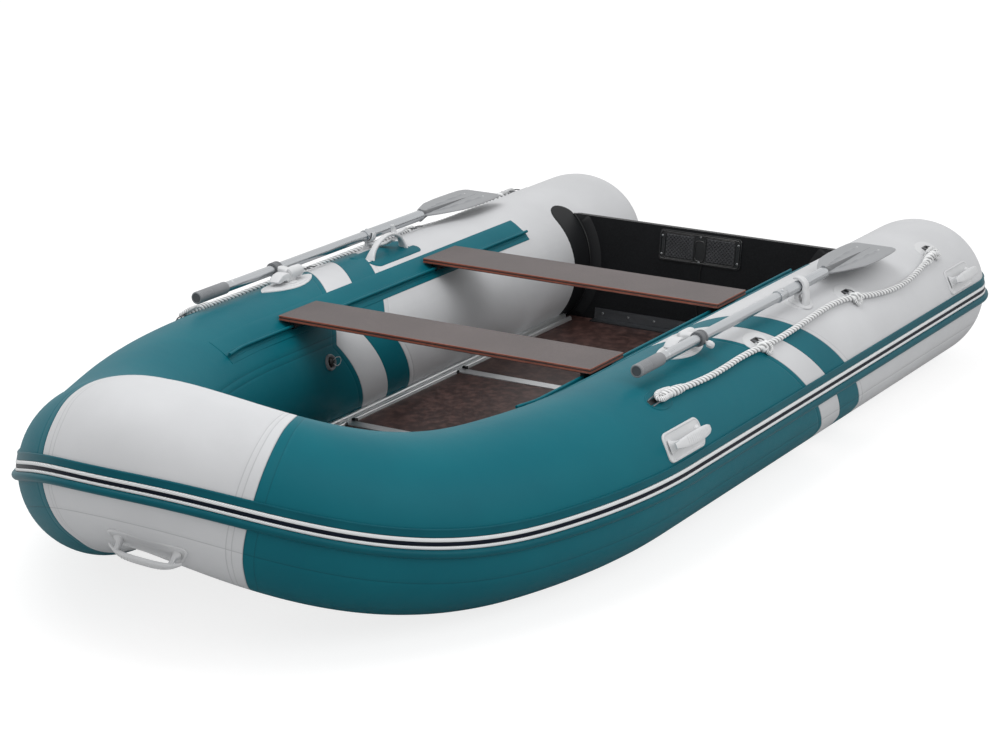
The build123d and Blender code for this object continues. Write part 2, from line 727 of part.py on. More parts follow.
def make_oarlock(x):
    """The base with its round boss, the head that swings on it, and the oar's clamp."""
    oval = Pos(x, PIVOT_Y) * pointed_oval(BASE_L, BASE_W)
    patch = top_patch(oval, BASE_T)
    boss = Pos(x, PIVOT_Y, TUBE_R) * Cylinder(
        BOSS_R, BOSS_TOP_Z - TUBE_R, align=(Align.CENTER, Align.CENTER, Align.MIN)
    )
    base = patch + (boss - tube_rod(TUBE_R + GLUE + 1))
    base = max(base.solids(), key=lambda s: s.volume)

    low = BOSS_TOP_Z + SWING_GAP
    half = HEAD_L / 2
    profile = make_face(
        Polyline(
            (x - half, low),
            (x + half, low),
            (x + half, low + 12),
            (x + half * 0.55, HEAD_TOP_Z - 8),
            (x + half * 0.2, HEAD_TOP_Z),
            (x - half * 0.3, HEAD_TOP_Z),
            (x - half * 0.75, HEAD_TOP_Z - 16),
            (x - half, low + 14),
            close=True,
        )
    )
    hump = Pos(0, PIVOT_Y, 0) * extrude(Plane.XZ * profile, amount=HEAD_W / 2, both=True)
    arm_end = SHAFT_Y - CLAMP_R + 4
    grip_x = x - CLAMP_SET_BACK
    before, after = grip_x - CLAMP_L, grip_x + CLAMP_L
    arm = Pos(grip_x, (PIVOT_Y + arm_end) / 2, SHAFT_Z) * Box(
        CLAMP_L, arm_end - PIVOT_Y, ARM_H
    )
    head = hump + (arm - rod_x(CLAMP_R + FIT, before, after, SHAFT_Y, SHAFT_Z))

    clamp = rod_x(CLAMP_R, grip_x - CLAMP_L / 2, grip_x + CLAMP_L / 2, SHAFT_Y, SHAFT_Z)
    clamp = clamp - rod_x(SHAFT_R + FIT, before, after, SHAFT_Y, SHAFT_Z)
    knob_out = CLAMP_R + KNOB_REACH
    stem_out = SHAFT_R + 3
    bolt = Plane(
        origin=(grip_x, SHAFT_Y, SHAFT_Z),
        x_dir=(1, 0, 0),
        z_dir=(0, cos(radians(KNOB_DROP)), -sin(radians(KNOB_DROP))),
    )
    stem = bolt * Pos(0, 0, (stem_out + knob_out) / 2) * Cylinder(KNOB_STEM_R, knob_out - stem_out)
    clamp = clamp + stem + bolt * Pos(0, 0, knob_out) * Sphere(KNOB_R)
    return base, head, clamp


def blade_outline():
    """Half of the outline from the neck to the end, mirrored."""
    half = BLADE_W / 2
    side = [
        (0, 12),
        (-75, half * 0.62),
        (-150, half * 0.93),
        (-220, half),
        (-BLADE_L + 30, half * 0.96),
        (-BLADE_L + 6, half * 0.84),
        (-BLADE_L, half * 0.6),
    ]
    other = [(x, -y) for x, y in reversed(side)]
    return make_face(Polyline(*side, *other, close=True))


def make_oar(x):
    grip_end = x + GRIP_REACH
    shaft_end = grip_end - GRIP_END_T
    step = x + SLEEVE_REACH
    neck = x + NECK_REACH
    front = rod_x(SHAFT_R, step, shaft_end, SHAFT_Y, SHAFT_Z) - rod_x(
        SHAFT_R - SHAFT_WALL, step - 5, shaft_end + 5, SHAFT_Y, SHAFT_Z
    )
    rear = rod_x(SLEEVE_R, neck, step + SLEEVE_LAP, SHAFT_Y, SHAFT_Z) - rod_x(
        SHAFT_R + FIT, neck - 5, step + SLEEVE_LAP + 5, SHAFT_Y, SHAFT_Z
    )
    grip = rod_x(GRIP_R, grip_end - GRIP_L, grip_end, SHAFT_Y, SHAFT_Z) - rod_x(
        SHAFT_R + FIT, grip_end - GRIP_L - 5, shaft_end + FIT, SHAFT_Y, SHAFT_Z
    )
    plate = extrude(blade_outline(), amount=BLADE_T / 2, both=True)
    stub = rod_x(SHAFT_R, neck - 45, neck + 90, 0, 0)
    spine = Pos(neck - 30 - SPINE_L / 2, 0, 0) * Box(SPINE_L, SPINE_W, SPINE_H)
    blade = Pos(0, SHAFT_Y, SHAFT_Z) * (Pos(neck, 0, 0) * plate + stub + spine)
    return front, rear, grip, blade


def make_rest(side, x):
    """What holds the stowed oar's shaft: a hook to port, a fork on an arch to starboard."""
    inner = SLEEVE_R + REST_PLAY
    outer = inner + REST_T[side]
    wide = (x - REST_L / 2, x + REST_L / 2)
    ring = rod_x(outer, *wide, SHAFT_Y, SHAFT_Z) - rod_x(
        inner, x - REST_L, x + REST_L, SHAFT_Y, SHAFT_Z
    )
    foot = Pos(x, SHAFT_Y, TUBE_R) * Box(
        REST_L,
        REST_FOOT_W,
        SHAFT_Z - TUBE_R - inner - 2,
        align=(Align.CENTER, Align.CENTER, Align.MIN),
    )
    foot = foot - tube_rod(TUBE_R + GLUE + 1)
    foot = max(foot.solids(), key=lambda s: s.volume)
    if side == "port":
        mouth = Pos(x, SHAFT_Y - outer, SHAFT_Z - 4) * Box(2 * REST_L, 2 * outer, 2 * inner - 10)
        hook = ring - mouth
        pad = top_patch(Pos(x, SHAFT_Y) * Ellipse(*PORT_PAD_R), PAD_T)
        return max((hook + foot + pad).solids(), key=lambda s: s.volume)
    mouth = Pos(x, SHAFT_Y, SHAFT_Z + outer) * Box(2 * REST_L, 2 * inner - 4, 2 * outer)
    pad = top_patch(Pos(x + 40, ARCH_Y + 10) * Rectangle(ARCH_PAD_L, ARCH_PAD_W), PAD_T)
    ground = TUBE_R + sqrt(TUBE_R**2 - (ARCH_Y - TUBE_Y) ** 2)
    span = ARCH_AFT + ARCH_FORE
    radius = (span**2 / 4 + ARCH_RISE**2) / (2 * ARCH_RISE)
    middle = x + (ARCH_FORE - ARCH_AFT) / 2
    bow = Pos(middle, ground + ARCH_RISE - radius) * (Circle(radius) - Circle(radius - ARCH_T))
    bow = bow & (Pos(middle, ground + ARCH_RISE - 40) * Rectangle(span + 30, 90))
    arch = Pos(0, ARCH_Y, 0) * extrude(Plane.XZ * bow, amount=ARCH_T, both=True)
    arch = arch - tube_rod(TUBE_R + GLUE + 1)
    link_z = SHAFT_Z - outer
    link = Pos(x, (ARCH_Y + SHAFT_Y) / 2, link_z) * Box(REST_L, SHAFT_Y - ARCH_Y, ARCH_T)
    stem = Pos(x, ARCH_Y, (link_z + ground) / 2) * Box(REST_L, ARCH_T, link_z - ground)
    link = link + stem - tube_rod(TUBE_R + GLUE + 1)
    link = link - rod_x(inner, x - REST_L, x + REST_L, SHAFT_Y, SHAFT_Z)
    body = (ring - mouth) + foot + pad + arch + link
    return max(body.solids(), key=lambda s: s.volume)


def make_oars():
    for side in ("port", "starboard"):
        base, head, clamp = make_oarlock(OARLOCK_X)
        front, rear, grip, blade = make_oar(OARLOCK_X + OAR_SLIDE[side])
        named = {
            "oarlock_base": base,
            "oarlock_head": head,
            "oar_clamp": clamp,
            "oar_shaft": front,
            "oar_sleeve": rear,
            "oar_grip": grip,
            "oar_blade": blade,
            "oar_rest": make_rest(side, REST_X[side]),
        }
        for name, solid in named.items():
            add(f"{name}_{side}", solid if side == "port" else mirrored(solid))


# ---------------------------------------------------------------- fittings


def handle_bar(face):
    """The bar of a carry handle with its two posts, over a point on the tube."""
    bar_l = HANDLE_L - 2 * HANDLE_END
    bar = face * Pos(0, 0, HANDLE_REACH) * Rot(0, 90, 0) * Cylinder(HANDLE_BAR_R, bar_l)
    for end in (-1, 1):
        bar = bar + face * Pos(end * (bar_l / 2 - POST_IN), 0, 2) * Box(
            POST_L, POST_W, HANDLE_REACH - 2, align=(Align.CENTER, Align.CENTER, Align.MIN)
        )
    return bar


def handle(x):
    """A moulded carry handle on the outer side of the port tube."""
    face = Plane(
        origin=(x, *on_tube(HANDLE_ANGLE, 0, 1)),
        x_dir=(1, 0, 0),
        z_dir=(0, sin(radians(HANDLE_ANGLE)), cos(radians(HANDLE_ANGLE))),
    )
    outline = across(arc_strip(HANDLE_ANGLE, HANDLE_W / 2, GLUE, HANDLE_T, 1))
    plate = Pos(x - HANDLE_L / 2, 0, 0) * extrude(outline, amount=HANDLE_L)
    return plate + handle_bar(face)


def make_handles():
    fore, aft = [handle(x) for x in HANDLE_X]
    fore = max((fore - tube_space()[2]).solids(), key=lambda s: s.volume)
    side = [fore, aft]
    add("carry_handles", Compound(children=side + [mirrored(part) for part in side]))

    nose = Vector(AXIS[-1].X, 0, AXIS[-1].Z)
    spread = degrees(HANDLE_W / 2 / TUBE_R)
    low = ring_points(TUBE_R + GLUE, BOW_HANDLE_ANGLE - spread, BOW_HANDLE_ANGLE + spread, 5)
    high_r = TUBE_R + GLUE + HANDLE_T
    high = ring_points(high_r, BOW_HANDLE_ANGLE + spread, BOW_HANDLE_ANGLE - spread, 5)
    centre = nose + Vector(0, BOW_HANDLE_Y, 0)
    start = centre + Vector(0, HANDLE_L / 2, 0)
    strip = Plane(origin=start, x_dir=(1, 0, 0), z_dir=(0, -1, 0)) * make_face(
        Polyline(*low, *high, close=True)
    )
    plate = extrude(strip, amount=HANDLE_L, dir=(0, -1, 0))
    out = Vector(cos(radians(BOW_HANDLE_ANGLE)), 0, sin(radians(BOW_HANDLE_ANGLE)))
    face = Plane(origin=centre + out * TUBE_R, x_dir=(0, 1, 0), z_dir=out)
    add("bow_handle", plate + handle_bar(face))


def rope_eye(x, angle, inboard):
    """A patch on the port tube with a staple over the lifeline."""
    patch_y = on_tube(angle - degrees(inboard / TUBE_R), EYE_PATCH_T, 1)[0]
    patch = top_patch(Pos(x, patch_y) * Ellipse(*EYE_PATCH_R), EYE_PATCH_T)
    face = Plane(
        origin=(x, *on_tube(angle, 0, 1)),
        x_dir=(1, 0, 0),
        z_dir=(0, sin(radians(angle)), cos(radians(angle))),
    )
    half = ROPE_R + EYE_PLAY
    top = ROPE_OFF + half
    bar = face * Pos(0, 0, top + EYE_BAR / 2) * Box(EYE_BAR, 2 * (half + EYE_BAR), EYE_BAR)
    for side in (-1, 1):
        bar = bar + face * Pos(0, side * (half + EYE_BAR / 2), 1) * Box(
            EYE_BAR, EYE_BAR, top + 1, align=(Align.CENTER, Align.CENTER, Align.MIN)
        )
    return patch + bar


def make_eyes():
    eyes = [rope_eye(*place) for place in EYES]
    add("rope_eyes", Compound(children=eyes + [mirrored(eye) for eye in eyes]))


def make_lifelines():
    points = [Vector(x, *on_tube(angle, ROPE_OFF, 1)) for x, angle in LIFELINE]
    radii = []
    for before, corner, after in zip(points, points[1:], points[2:]):
        turn = (corner - before).get_angle(after - corner)
        shorter = min((corner - before).length, (after - corner).length)
        radii.append(0.45 * shorter / tan(radians(turn) / 2))
    print("lifeline radii", [round(r) for r in radii])
    path = FilletPolyline(*points, radius=radii)
    start = Plane(origin=path @ 0, z_dir=path % 0)
    rope = sweep(start * Circle(ROPE_R), path=path)
    want = pi * ROPE_R**2 * path.length
    print("lifeline length", round(path.length), "volume share", round(rope.volume / want, 4))
    both("lifeline", rope)


def valve(x):
    face = Plane(
        origin=(x, *on_tube(VALVE_ANGLE, 0)),
        x_dir=(1, 0, 0),
        z_dir=(0, -sin(radians(VALVE_ANGLE)), cos(radians(VALVE_ANGLE))),
    )
    return face * Cylinder(VALVE_R, 2 * VALVE_PROUD) - tube_rod(TUBE_R + GLUE)


def make_valves():
    port = valve(VALVE_X)
    add("valves", Compound(children=[port, mirrored(port)]))


make_tubes()
make_rail()
make_transom()
make_bottom()
make_collar()
make_floor()
make_tracks()
make_seats()
make_oars()
make_handles()
make_eyes()
make_lifelines()
make_valves()

os.makedirs("parts", exist_ok=True)
for name, solid in pieces.items():
    export_step(solid, f"parts/{name}.step")
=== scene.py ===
import math
from collections import namedtuple

import bpy
import numpy as np
from mathutils import Matrix, Vector


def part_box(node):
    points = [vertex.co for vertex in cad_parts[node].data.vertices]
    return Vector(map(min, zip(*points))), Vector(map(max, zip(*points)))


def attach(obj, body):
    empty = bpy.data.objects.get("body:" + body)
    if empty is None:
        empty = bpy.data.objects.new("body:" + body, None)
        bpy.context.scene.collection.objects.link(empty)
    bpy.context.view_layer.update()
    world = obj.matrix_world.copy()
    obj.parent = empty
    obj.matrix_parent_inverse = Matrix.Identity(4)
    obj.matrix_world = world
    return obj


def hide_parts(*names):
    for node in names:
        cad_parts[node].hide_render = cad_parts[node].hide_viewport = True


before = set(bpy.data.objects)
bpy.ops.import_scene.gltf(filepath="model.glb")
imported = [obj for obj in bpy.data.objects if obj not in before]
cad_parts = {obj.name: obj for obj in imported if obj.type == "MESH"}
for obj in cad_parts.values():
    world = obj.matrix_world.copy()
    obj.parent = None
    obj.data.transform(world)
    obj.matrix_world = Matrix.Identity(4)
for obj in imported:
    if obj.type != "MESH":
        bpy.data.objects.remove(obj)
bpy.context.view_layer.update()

# Inflatable boat: metres, +X to the bow, +Y to port, +Z up.
MM = 0.001
FORE, PORT, UP = np.eye(3)
SIDES = ((1, "port"), (-1, "starboard"))
BOTH, OPEN = (True, True), (False, False)  # which ends of a lofted skin are closed


def linked(name, data):
    """A new object in the scene."""
    made = bpy.data.objects.new(name, data)
    bpy.context.scene.collection.objects.link(made)
    return made


# ------------------------------------------------------------------ camera
CAMERA_PLACE = (6.387, 3.710, 2.471)
CAMERA_AZIMUTH, CAMERA_ELEVATION, CAMERA_ROLL = 120.05, 16.65, 0.57
CAMERA_LENS, SENSOR_WIDTH = 97.1, 36.0


def make_camera():
    azimuth, elevation = math.radians(CAMERA_AZIMUTH), math.radians(CAMERA_ELEVATION)
    flat = math.cos(elevation)
    back = Vector((math.sin(azimuth) * flat, -math.cos(azimuth) * flat, math.sin(elevation)))
    settings = bpy.data.cameras.new("camera")
    settings.lens = CAMERA_LENS
    settings.sensor_width = SENSOR_WIDTH
    settings.clip_end = 200.0
    camera = linked("camera", settings)
    level = back.to_track_quat("Z", "Y").to_matrix().to_4x4()
    roll = Matrix.Rotation(math.radians(CAMERA_ROLL), 4, "Z")
    camera.matrix_world = Matrix.Translation(CAMERA_PLACE) @ level @ roll
    bpy.context.scene.camera = camera


# ------------------------------------------------------------------ shapes
# A shape is points and faces. Fabric has each point's place on the cut cloth. Fabric and rope
# have painted shade at each point, under a name of its own: how dark it is drawn along a glued
# edge or seam line and between strands, where shade falls.
# Zones say which of the piece's materials each face has, where it has several.
Shape = namedtuple("Shape", "points faces threads glue zones", defaults=(None, None, None))


def unit(v):
    return v / np.linalg.norm(v, axis=-1, keepdims=True)


def quads(rows, columns, closed):
    """Faces of a grid of points, row by row."""
    across = columns if closed else columns - 1
    i, j = np.meshgrid(np.arange(rows - 1), np.arange(across), indexing="ij")
    k = (j + 1) % columns
    corners = [i * columns + j, i * columns + k, (i + 1) * columns + k, (i + 1) * columns + j]
    return np.stack(corners, -1).reshape(-1, 4).tolist()


def loft(rings, closed=True, ends=BOTH):
    """A skin over rings of points that have the same number each."""
    rings = np.asarray(rings, float)
    rows, columns = rings.shape[:2]
    faces = quads(rows, columns, closed)
    if ends[0]:
        faces.append(list(range(columns))[::-1])
    if ends[1]:
        faces.append(list(range((rows - 1) * columns, rows * columns)))
    return Shape(rings.reshape(-1, 3), faces)


def sheet(lines):
    """An open skin between lines that run side by side."""
    return loft(lines, closed=False, ends=OPEN)


def moved(shape, where):
    """The shape with its points mapped by a function."""
    return shape._replace(points=where(shape.points))


def shifted(shape, *by):
    return moved(shape, lambda points: points + by)


def zoned(shape, zone):
    """The shape with all its faces in one of the piece's materials."""
    return shape._replace(zones=[zone] * len(shape.faces))


def starboard(shape):
    """The shape's twin on the other side of the boat."""
    faces = [list(face)[::-1] for face in shape.faces]
    return shape._replace(points=shape.points * (1, -1, 1), faces=faces)


def on_side(side, shapes):
    """The shapes as drawn, to port, or their twins."""
    return list(shapes) if side == "port" else [starboard(shape) for shape in shapes]


def both(shapes):
    return on_side("port", shapes) + on_side("starboard", shapes)


def box_outline(length, width, corner, inset=0.0, steps=6):
    """A rectangle with round corners."""
    a, b = length / 2 - inset, width / 2 - inset
    r = max(corner - inset, 0.0002)
    turns = np.radians(np.linspace(0, 90, steps))
    found = []
    for quarter, (cx, cy) in enumerate([(a - r, b - r), (r - a, b - r), (r - a, r - b), (a - r, r - b)]):
        at = turns + quarter * math.pi / 2
        found.append(np.column_stack([cx + r * np.cos(at), cy + r * np.sin(at)]))
    return np.vstack(found)


def oval_outline(a, b, inset=0.0, steps=40):
    at = np.linspace(0, 2 * math.pi, steps, endpoint=False)
    return np.column_stack([(a - inset) * np.cos(at), (b - inset) * np.sin(at)])


def leaf_outline(length, width, inset=0.0, steps=28):
    """A pointed oval."""
    x = np.cos(np.linspace(0, math.pi, steps)) * (length / 2 - inset * length / width)
    y = (width / 2 - inset) * (1 - (x / (length / 2)) ** 2) ** 0.8
    back = slice(-2, 0, -1)
    return np.vstack([np.column_stack([x, y]), np.column_stack([x, -y])[back]])


def stacked(outline, size, levels, fill=None, **more):
    """An outline of that size at each (inset, height). With fill, the top goes on inward to that
    inset, so that it can bend with what it lies on."""
    if fill is not None:
        inner, top = levels[-1]
        levels = list(levels) + [(inner + (fill - inner) * step / 5, top) for step in range(1, 6)]
    rings = []
    for inset, height in levels:
        flat = outline(*size, inset=inset, **more)
        rings.append(np.column_stack([flat, np.full(len(flat), height)]))
    return loft(rings)


def lathed(profile, sides=32, ends=BOTH):
    """A part turned about the z axis, from (radius, height) pairs."""
    at = np.linspace(0, 2 * math.pi, sides, endpoint=False)
    rings = [np.column_stack([r * np.cos(at), r * np.sin(at), np.full(sides, h)]) for r, h in profile]
    return loft(rings, ends=ends)


def ways_along(path):
    return unit(np.gradient(path, axis=0))


def frames_along(path, hint):
    """Two directions across a path at each of its points, the first nearest to the hint."""
    way = ways_along(path)
    hint = np.broadcast_to(np.asarray(hint, float), path.shape)
    first = unit(hint - way * (hint * way).sum(1, keepdims=True))
    return first, np.cross(way, first)


def swept(path, outline, hint, size=1.0):
    """An outline carried along a path; size scales its two directions."""
    path, flat = np.asarray(path, float), np.asarray(outline, float)
    first, second = frames_along(path, hint)
    size = np.broadcast_to(size, (len(path), 2))
    rings = (
        path[:, None]
        + first[:, None] * (flat[None, :, :1] * size[:, None, :1])
        + second[:, None] * (flat[None, :, 1:] * size[:, None, 1:])
    )
    return loft(rings)


def wire(path, radius, sides=10, hint=(0.31, 0.52, 0.8)):
    return swept(path, oval_outline(radius, radius, steps=sides), hint)


BAND = box_outline(1.0, 1.0, 0.32, steps=5)  # a strap's section: across it, then through it


def strap(path, across, widths, thicks):
    """A band bent along a path, with its width and thickness along it."""
    share = np.linspace(0, 1, len(path))
    size = [np.interp(share, np.linspace(0, 1, len(v)), v) for v in (widths, thicks)]
    return swept(path, BAND, across, np.column_stack(size))


def lengths(line, power=1.0):
    """How far along a line each of its points is."""
    gaps = np.linalg.norm(np.diff(line, axis=0), axis=1) ** power
    return np.concatenate([[0], np.cumsum(gaps)])


def read_off(at, along, table):
    """A table of x, y and z read at places along it."""
    return np.stack([np.interp(at, along, table[:, i]) for i in range(3)], -1)


def curve(corners, steps=24, power=0.5):
    """A smooth line through a few points."""
    corners = np.asarray(corners, float)
    knots = lengths(corners, power)
    slopes = np.gradient(corners, knots, axis=0)
    at = np.linspace(0, knots[-1], steps)
    k = np.clip(np.searchsorted(knots, at, side="right") - 1, 0, len(knots) - 2)
    span = (knots[k + 1] - knots[k])[:, None]
    t = (at - knots[k])[:, None] / span
    return (
        corners[k] * (2 * t**3 - 3 * t**2 + 1)
        + slopes[k] * span * (t**3 - 2 * t**2 + t)
        + corners[k + 1] * (3 * t**2 - 2 * t**3)
        + slopes[k + 1] * span * (t**3 - t**2)
    )


def mirrored(half, signs, middle=()):
    """A line's half, what lies in its middle, and the half again, run back with those signs."""
    return [*half, *middle, *(np.array(half) * signs)[::-1]]


def cubic(corners, share):
    """Points of a cubic curve drawn by four corners."""
    t = np.asarray(share, float)[:, None]
    weights = np.hstack([(1 - t) ** 3, 3 * t * (1 - t) ** 2, 3 * t**2 * (1 - t), t**3])
    return weights @ np.array(corners)


def placed(origin, x_way, z_way):
    """Maps a shape drawn about the origin to a place, its x and z turned to two directions."""
    z_way = unit(np.asarray(z_way, float))
    x_way = np.asarray(x_way, float)
    x_way = unit(x_way - z_way * (x_way @ z_way))
    turn = np.stack([x_way, np.cross(z_way, x_way), z_way])
    return lambda points: np.asarray(origin, float) + points @ turn


def piece(name, shapes, material, body="root", bevel=0.0, sharp=38.0, replaces=()):
    """One object from its shapes, riding on a body."""
    faces, zones, start = [], [], 0
    for shape in shapes:
        faces += [[i + start for i in face] for face in shape.faces]
        zones += shape.zones or [0] * len(shape.faces)
        start += len(shape.points)
    mesh = bpy.data.meshes.new(name)
    mesh.from_pydata(np.vstack([shape.points for shape in shapes]).tolist(), [], faces)
    for made_of in material if isinstance(material, list) else [material]:
        mesh.materials.append(made_of)
    mesh.polygons.foreach_set("material_index", zones)
    if shapes[0].threads is not None:
        at = np.vstack([shape.threads for shape in shapes])
        corners = np.zeros(len(mesh.loops), int)
        mesh.loops.foreach_get("vertex_index", corners)
        layer = mesh.uv_layers.new(name="threads")
        layer.data.foreach_set("uv", at[corners].astype(np.float32).ravel())
    # Painted shade, where the shapes carry it: how dark each point is drawn.
    if shapes[0].glue is not None:
        glue = mesh.attributes.new("glue", "FLOAT", "POINT")
        glue.data.foreach_set("value", np.concatenate([s.glue for s in shapes]).astype(np.float32))
    mesh.update()
    mesh.shade_smooth()
    mesh.set_sharp_from_angle(angle=math.radians(sharp))
    made = linked(name, mesh)
    if bevel:
        edge = made.modifiers.new("edges", "BEVEL")
        edge.width = bevel
        edge.segments = 3
        edge.limit_method = "ANGLE"
        edge.angle_limit = math.radians(sharp)
        edge.harden_normals = True
    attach(made, body)
    if replaces:
        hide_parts(*replaces)
    return made


# ------------------------------------------------------------------ the tube's form
TUBE_Y, TUBE_Z, TUBE_R, NOSE_R = 0.625, 0.225, 0.2252, 0.200
NOSE_TAPER = 2.5  # the tube narrows late, towards the nose
STERN_X = -1.621
BOW_PLAN = [(0.453, 0.625), (1.122, 0.625), (1.6047, 0.201), (1.6047, 0.0)]
BOW_RISE, RISE_FROM_X, RISE_POWER = 0.215, 0.938, 2.4
CAP = TUBE_R * math.pi / 2  # from the stern's centre to the end of its round cap

bow_plan = cubic(BOW_PLAN, np.linspace(0, 1, 400))
straight_plan = np.linspace((STERN_X, TUBE_Y), BOW_PLAN[0], 200)[:-1]
plan = np.vstack([straight_plan, bow_plan])
rise_share = np.clip((plan[:, 0] - RISE_FROM_X) / (BOW_PLAN[-1][0] - RISE_FROM_X), 0, 1)
AXIS = np.column_stack([plan, TUBE_Z + BOW_RISE * rise_share**RISE_POWER])
ALONG = lengths(AXIS)
HALF = ALONG[-1]  # the stern's centre to the nose
AXIS_WAY = unit(np.gradient(AXIS, ALONG, axis=0))
AXIS_WAY[-1] = (0, -1, 0)
STRAIGHT = BOW_PLAN[0][0] - STERN_X


def on_skin(s, turn, lift=0.0):
    """Points off the tube's fabric: s along its axis from the port stern's centre round to the
    starboard one, turn in degrees from its top, outboard positive."""
    s, turn, lift = np.broadcast_arrays(np.asarray(s, float), np.radians(turn), lift)
    to_port = s <= HALF
    s = np.where(to_port, s, 2 * HALF - s)
    cap = np.clip(-s, 0, None)[..., None] / TUBE_R
    s = np.clip(s, 0, HALF)
    way = unit(read_off(s, ALONG, AXIS_WAY))
    out = unit(np.cross(UP, way))
    above = np.cross(way, out)
    off = out * np.sin(turn)[..., None] + above * np.cos(turn)[..., None]
    off = off * np.cos(cap) - way * np.sin(cap)
    bend = np.clip((s - STRAIGHT) / (HALF - STRAIGHT), 0, 1)
    radius = TUBE_R + (NOSE_R - TUBE_R) * bend**NOSE_TAPER
    points = read_off(s, ALONG, AXIS) + off * (radius + lift)[..., None]
    points[..., 1] *= np.where(to_port, 1, -1)
    return points


def beside_straight(turn, reach):
    """How far to port and how high a place off the straight tube's axis lies."""
    return TUBE_Y + reach * np.sin(turn), TUBE_Z + reach * np.cos(turn)


def at_x(x):
    """The way along the straight tube to a place along the boat."""
    return x - STERN_X


def on_tube(s, turn, outside=1.0):
    """Maps a shape onto the tube: its x runs along, its y round to outboard, its z off it.
    On a bend the fabric is longer than the axis by the outside share."""

    def where(points):
        along, around, off = np.asarray(points).T
        return on_skin(s + along / outside, turn + np.degrees(around / TUBE_R), off)

    return where


def tube_turn(y):
    """The turn at which the tube's top lies that far to port."""
    return math.degrees(math.asin((y - TUBE_Y) / TUBE_R))


# ------------------------------------------------------------------ rope
# Along the outer side of each tube: (place along the boat, degrees from the tube's top).
LIFELINE = [
    (0.462, 32.8), (0.372, 34.2), (0.280, 36.1), (0.185, 37.2), (0.090, 36.9), (0.000, 36.0),
    (-0.080, 36.2), (-0.160, 37.3), (-0.250, 37.5), (-0.345, 37.0), (-0.440, 36.0), (-0.540, 34.9),
    (-0.630, 34.4), (-0.710, 35.6), (-0.785, 38.7), (-0.870, 43.0), (-0.965, 46.1), (-1.060, 47.5),
    (-1.160, 46.4), (-1.250, 43.8), (-1.335, 40.6), (-1.420, 36.8),
]
ROPE_R, ROPE_REACH = 0.008, 0.2365
ROPE_CROWN = 0.009  # the rope's radius over its strands
STRAND_PITCH = 0.056  # along the rope, for one turn of a strand
STRANDS = 3


def spline_line(points):
    """The smooth line of a NURBS spline with these control points."""
    drawn = bpy.data.curves.new("route", "CURVE")
    drawn.dimensions = "3D"
    drawn.resolution_u = 16
    spline = drawn.splines.new("NURBS")
    spline.points.add(len(points) - 1)
    for point, place in zip(spline.points, points):
        point.co = (*place, 1.0)
    spline.order_u = 3
    spline.use_endpoint_u = True
    holder = linked("route", drawn)
    bpy.context.view_layer.update()
    mesh = bpy.data.meshes.new_from_object(holder)
    line = np.array([vertex.co for vertex in mesh.vertices])
    bpy.data.objects.remove(holder)
    bpy.data.meshes.remove(mesh)
    bpy.data.curves.remove(drawn)
    return line


def spaced(line, step):
    """The same line with points a step apart."""
    far = lengths(line)
    at = np.linspace(0, far[-1], max(3, round(far[-1] / step)))
    return read_off(at, far, line), at


def laid_rope(line, radius, pitch, depth, step, sides=20):
    """A rope whose strands stand up as ridges that wind round it."""
    path, at = spaced(line, step)
    radius = np.interp(at / at[-1], np.linspace(0, 1, len(radius)), radius)
    out, over = frames_along(path, UP)
    turn = np.linspace(0, 2 * math.pi, sides, endpoint=False)
    wave = np.abs(np.sin((STRANDS * turn[None] - 2 * math.pi * STRANDS * at[:, None] / pitch) / 2))
    reach = radius[:, None] * (1 - depth + depth * np.sqrt(wave))
    rings = (
        path[:, None]
        + out[:, None] * (reach * np.cos(turn))[..., None]
        + over[:, None] * (reach * np.sin(turn))[..., None]
    )
    # Painted shade: how dark each point is drawn, darkest between the strands.
    return loft(rings)._replace(glue=(1 - wave).ravel() ** 1.5)


# ------------------------------------------------------------------ materials
WAVE = 2 * math.pi / 20  # a wave texture repeats over this length at scale 1
EVEN = (1, 1, 1)
ALONG_BOAT, ACROSS_BOAT, BROAD = (0.05, 1, 1), (1, 0.05, 1), (1, 0.1, 1)
ALONG_PULL = (0.2, 0.2, 1)


def linear(colour):
    """An sRGB hex colour as the linear one that a shader takes."""
    channels = [int(colour[i : i + 2], 16) / 255 for i in (1, 3, 5)]
    return (*[c / 12.92 if c <= 0.04045 else ((c + 0.055) / 1.055) ** 2.4 for c in channels], 1.0)


def node(tree, kind, inputs=None, **settings):
    """Adds a shader node with its settings, and fills or links its inputs."""
    made = tree.nodes.new("ShaderNode" + kind)
    for name, value in settings.items():
        setattr(made, name, value)
    for name, value in (inputs or {}).items():
        if isinstance(value, bpy.types.NodeSocket):
            tree.links.new(value, made.inputs[name])
        else:
            made.inputs[name].default_value = value
    return made


def started(name, roughness, gloss=0.5, metallic=0.0):
    """A new material, its tree, its shader and the place on the piece in metres."""
    material = bpy.data.materials.new(name)
    material.use_nodes = True
    tree = material.node_tree
    shader = tree.nodes["Principled BSDF"]
    for socket, value in (("Roughness", roughness), ("Specular IOR Level", gloss), ("Metallic", metallic)):
        shader.inputs[socket].default_value = value
    return material, tree, shader, node(tree, "TexCoord").outputs["Object"]


def drifting(tree, place, tones, patch, contrast=1.0, stretch=EVEN):
    """A colour that drifts between two tones over a patch of that many metres, and its share."""
    size = node(tree, "Mapping", {"Vector": place, "Scale": stretch}).outputs[0]
    cloud = node(tree, "TexNoise", {"Vector": size, "Scale": 1 / patch, "Detail": 4.0}).outputs["Fac"]
    spread = 0.25 / contrast
    limits = {"Value": cloud, "From Min": 0.5 - spread, "From Max": 0.5 + spread}
    share = node(tree, "MapRange", limits).outputs[0]
    ends = {0: share, 6: linear(tones[0]), 7: linear(tones[1])}
    return node(tree, "Mix", ends, data_type="RGBA").outputs[2], share


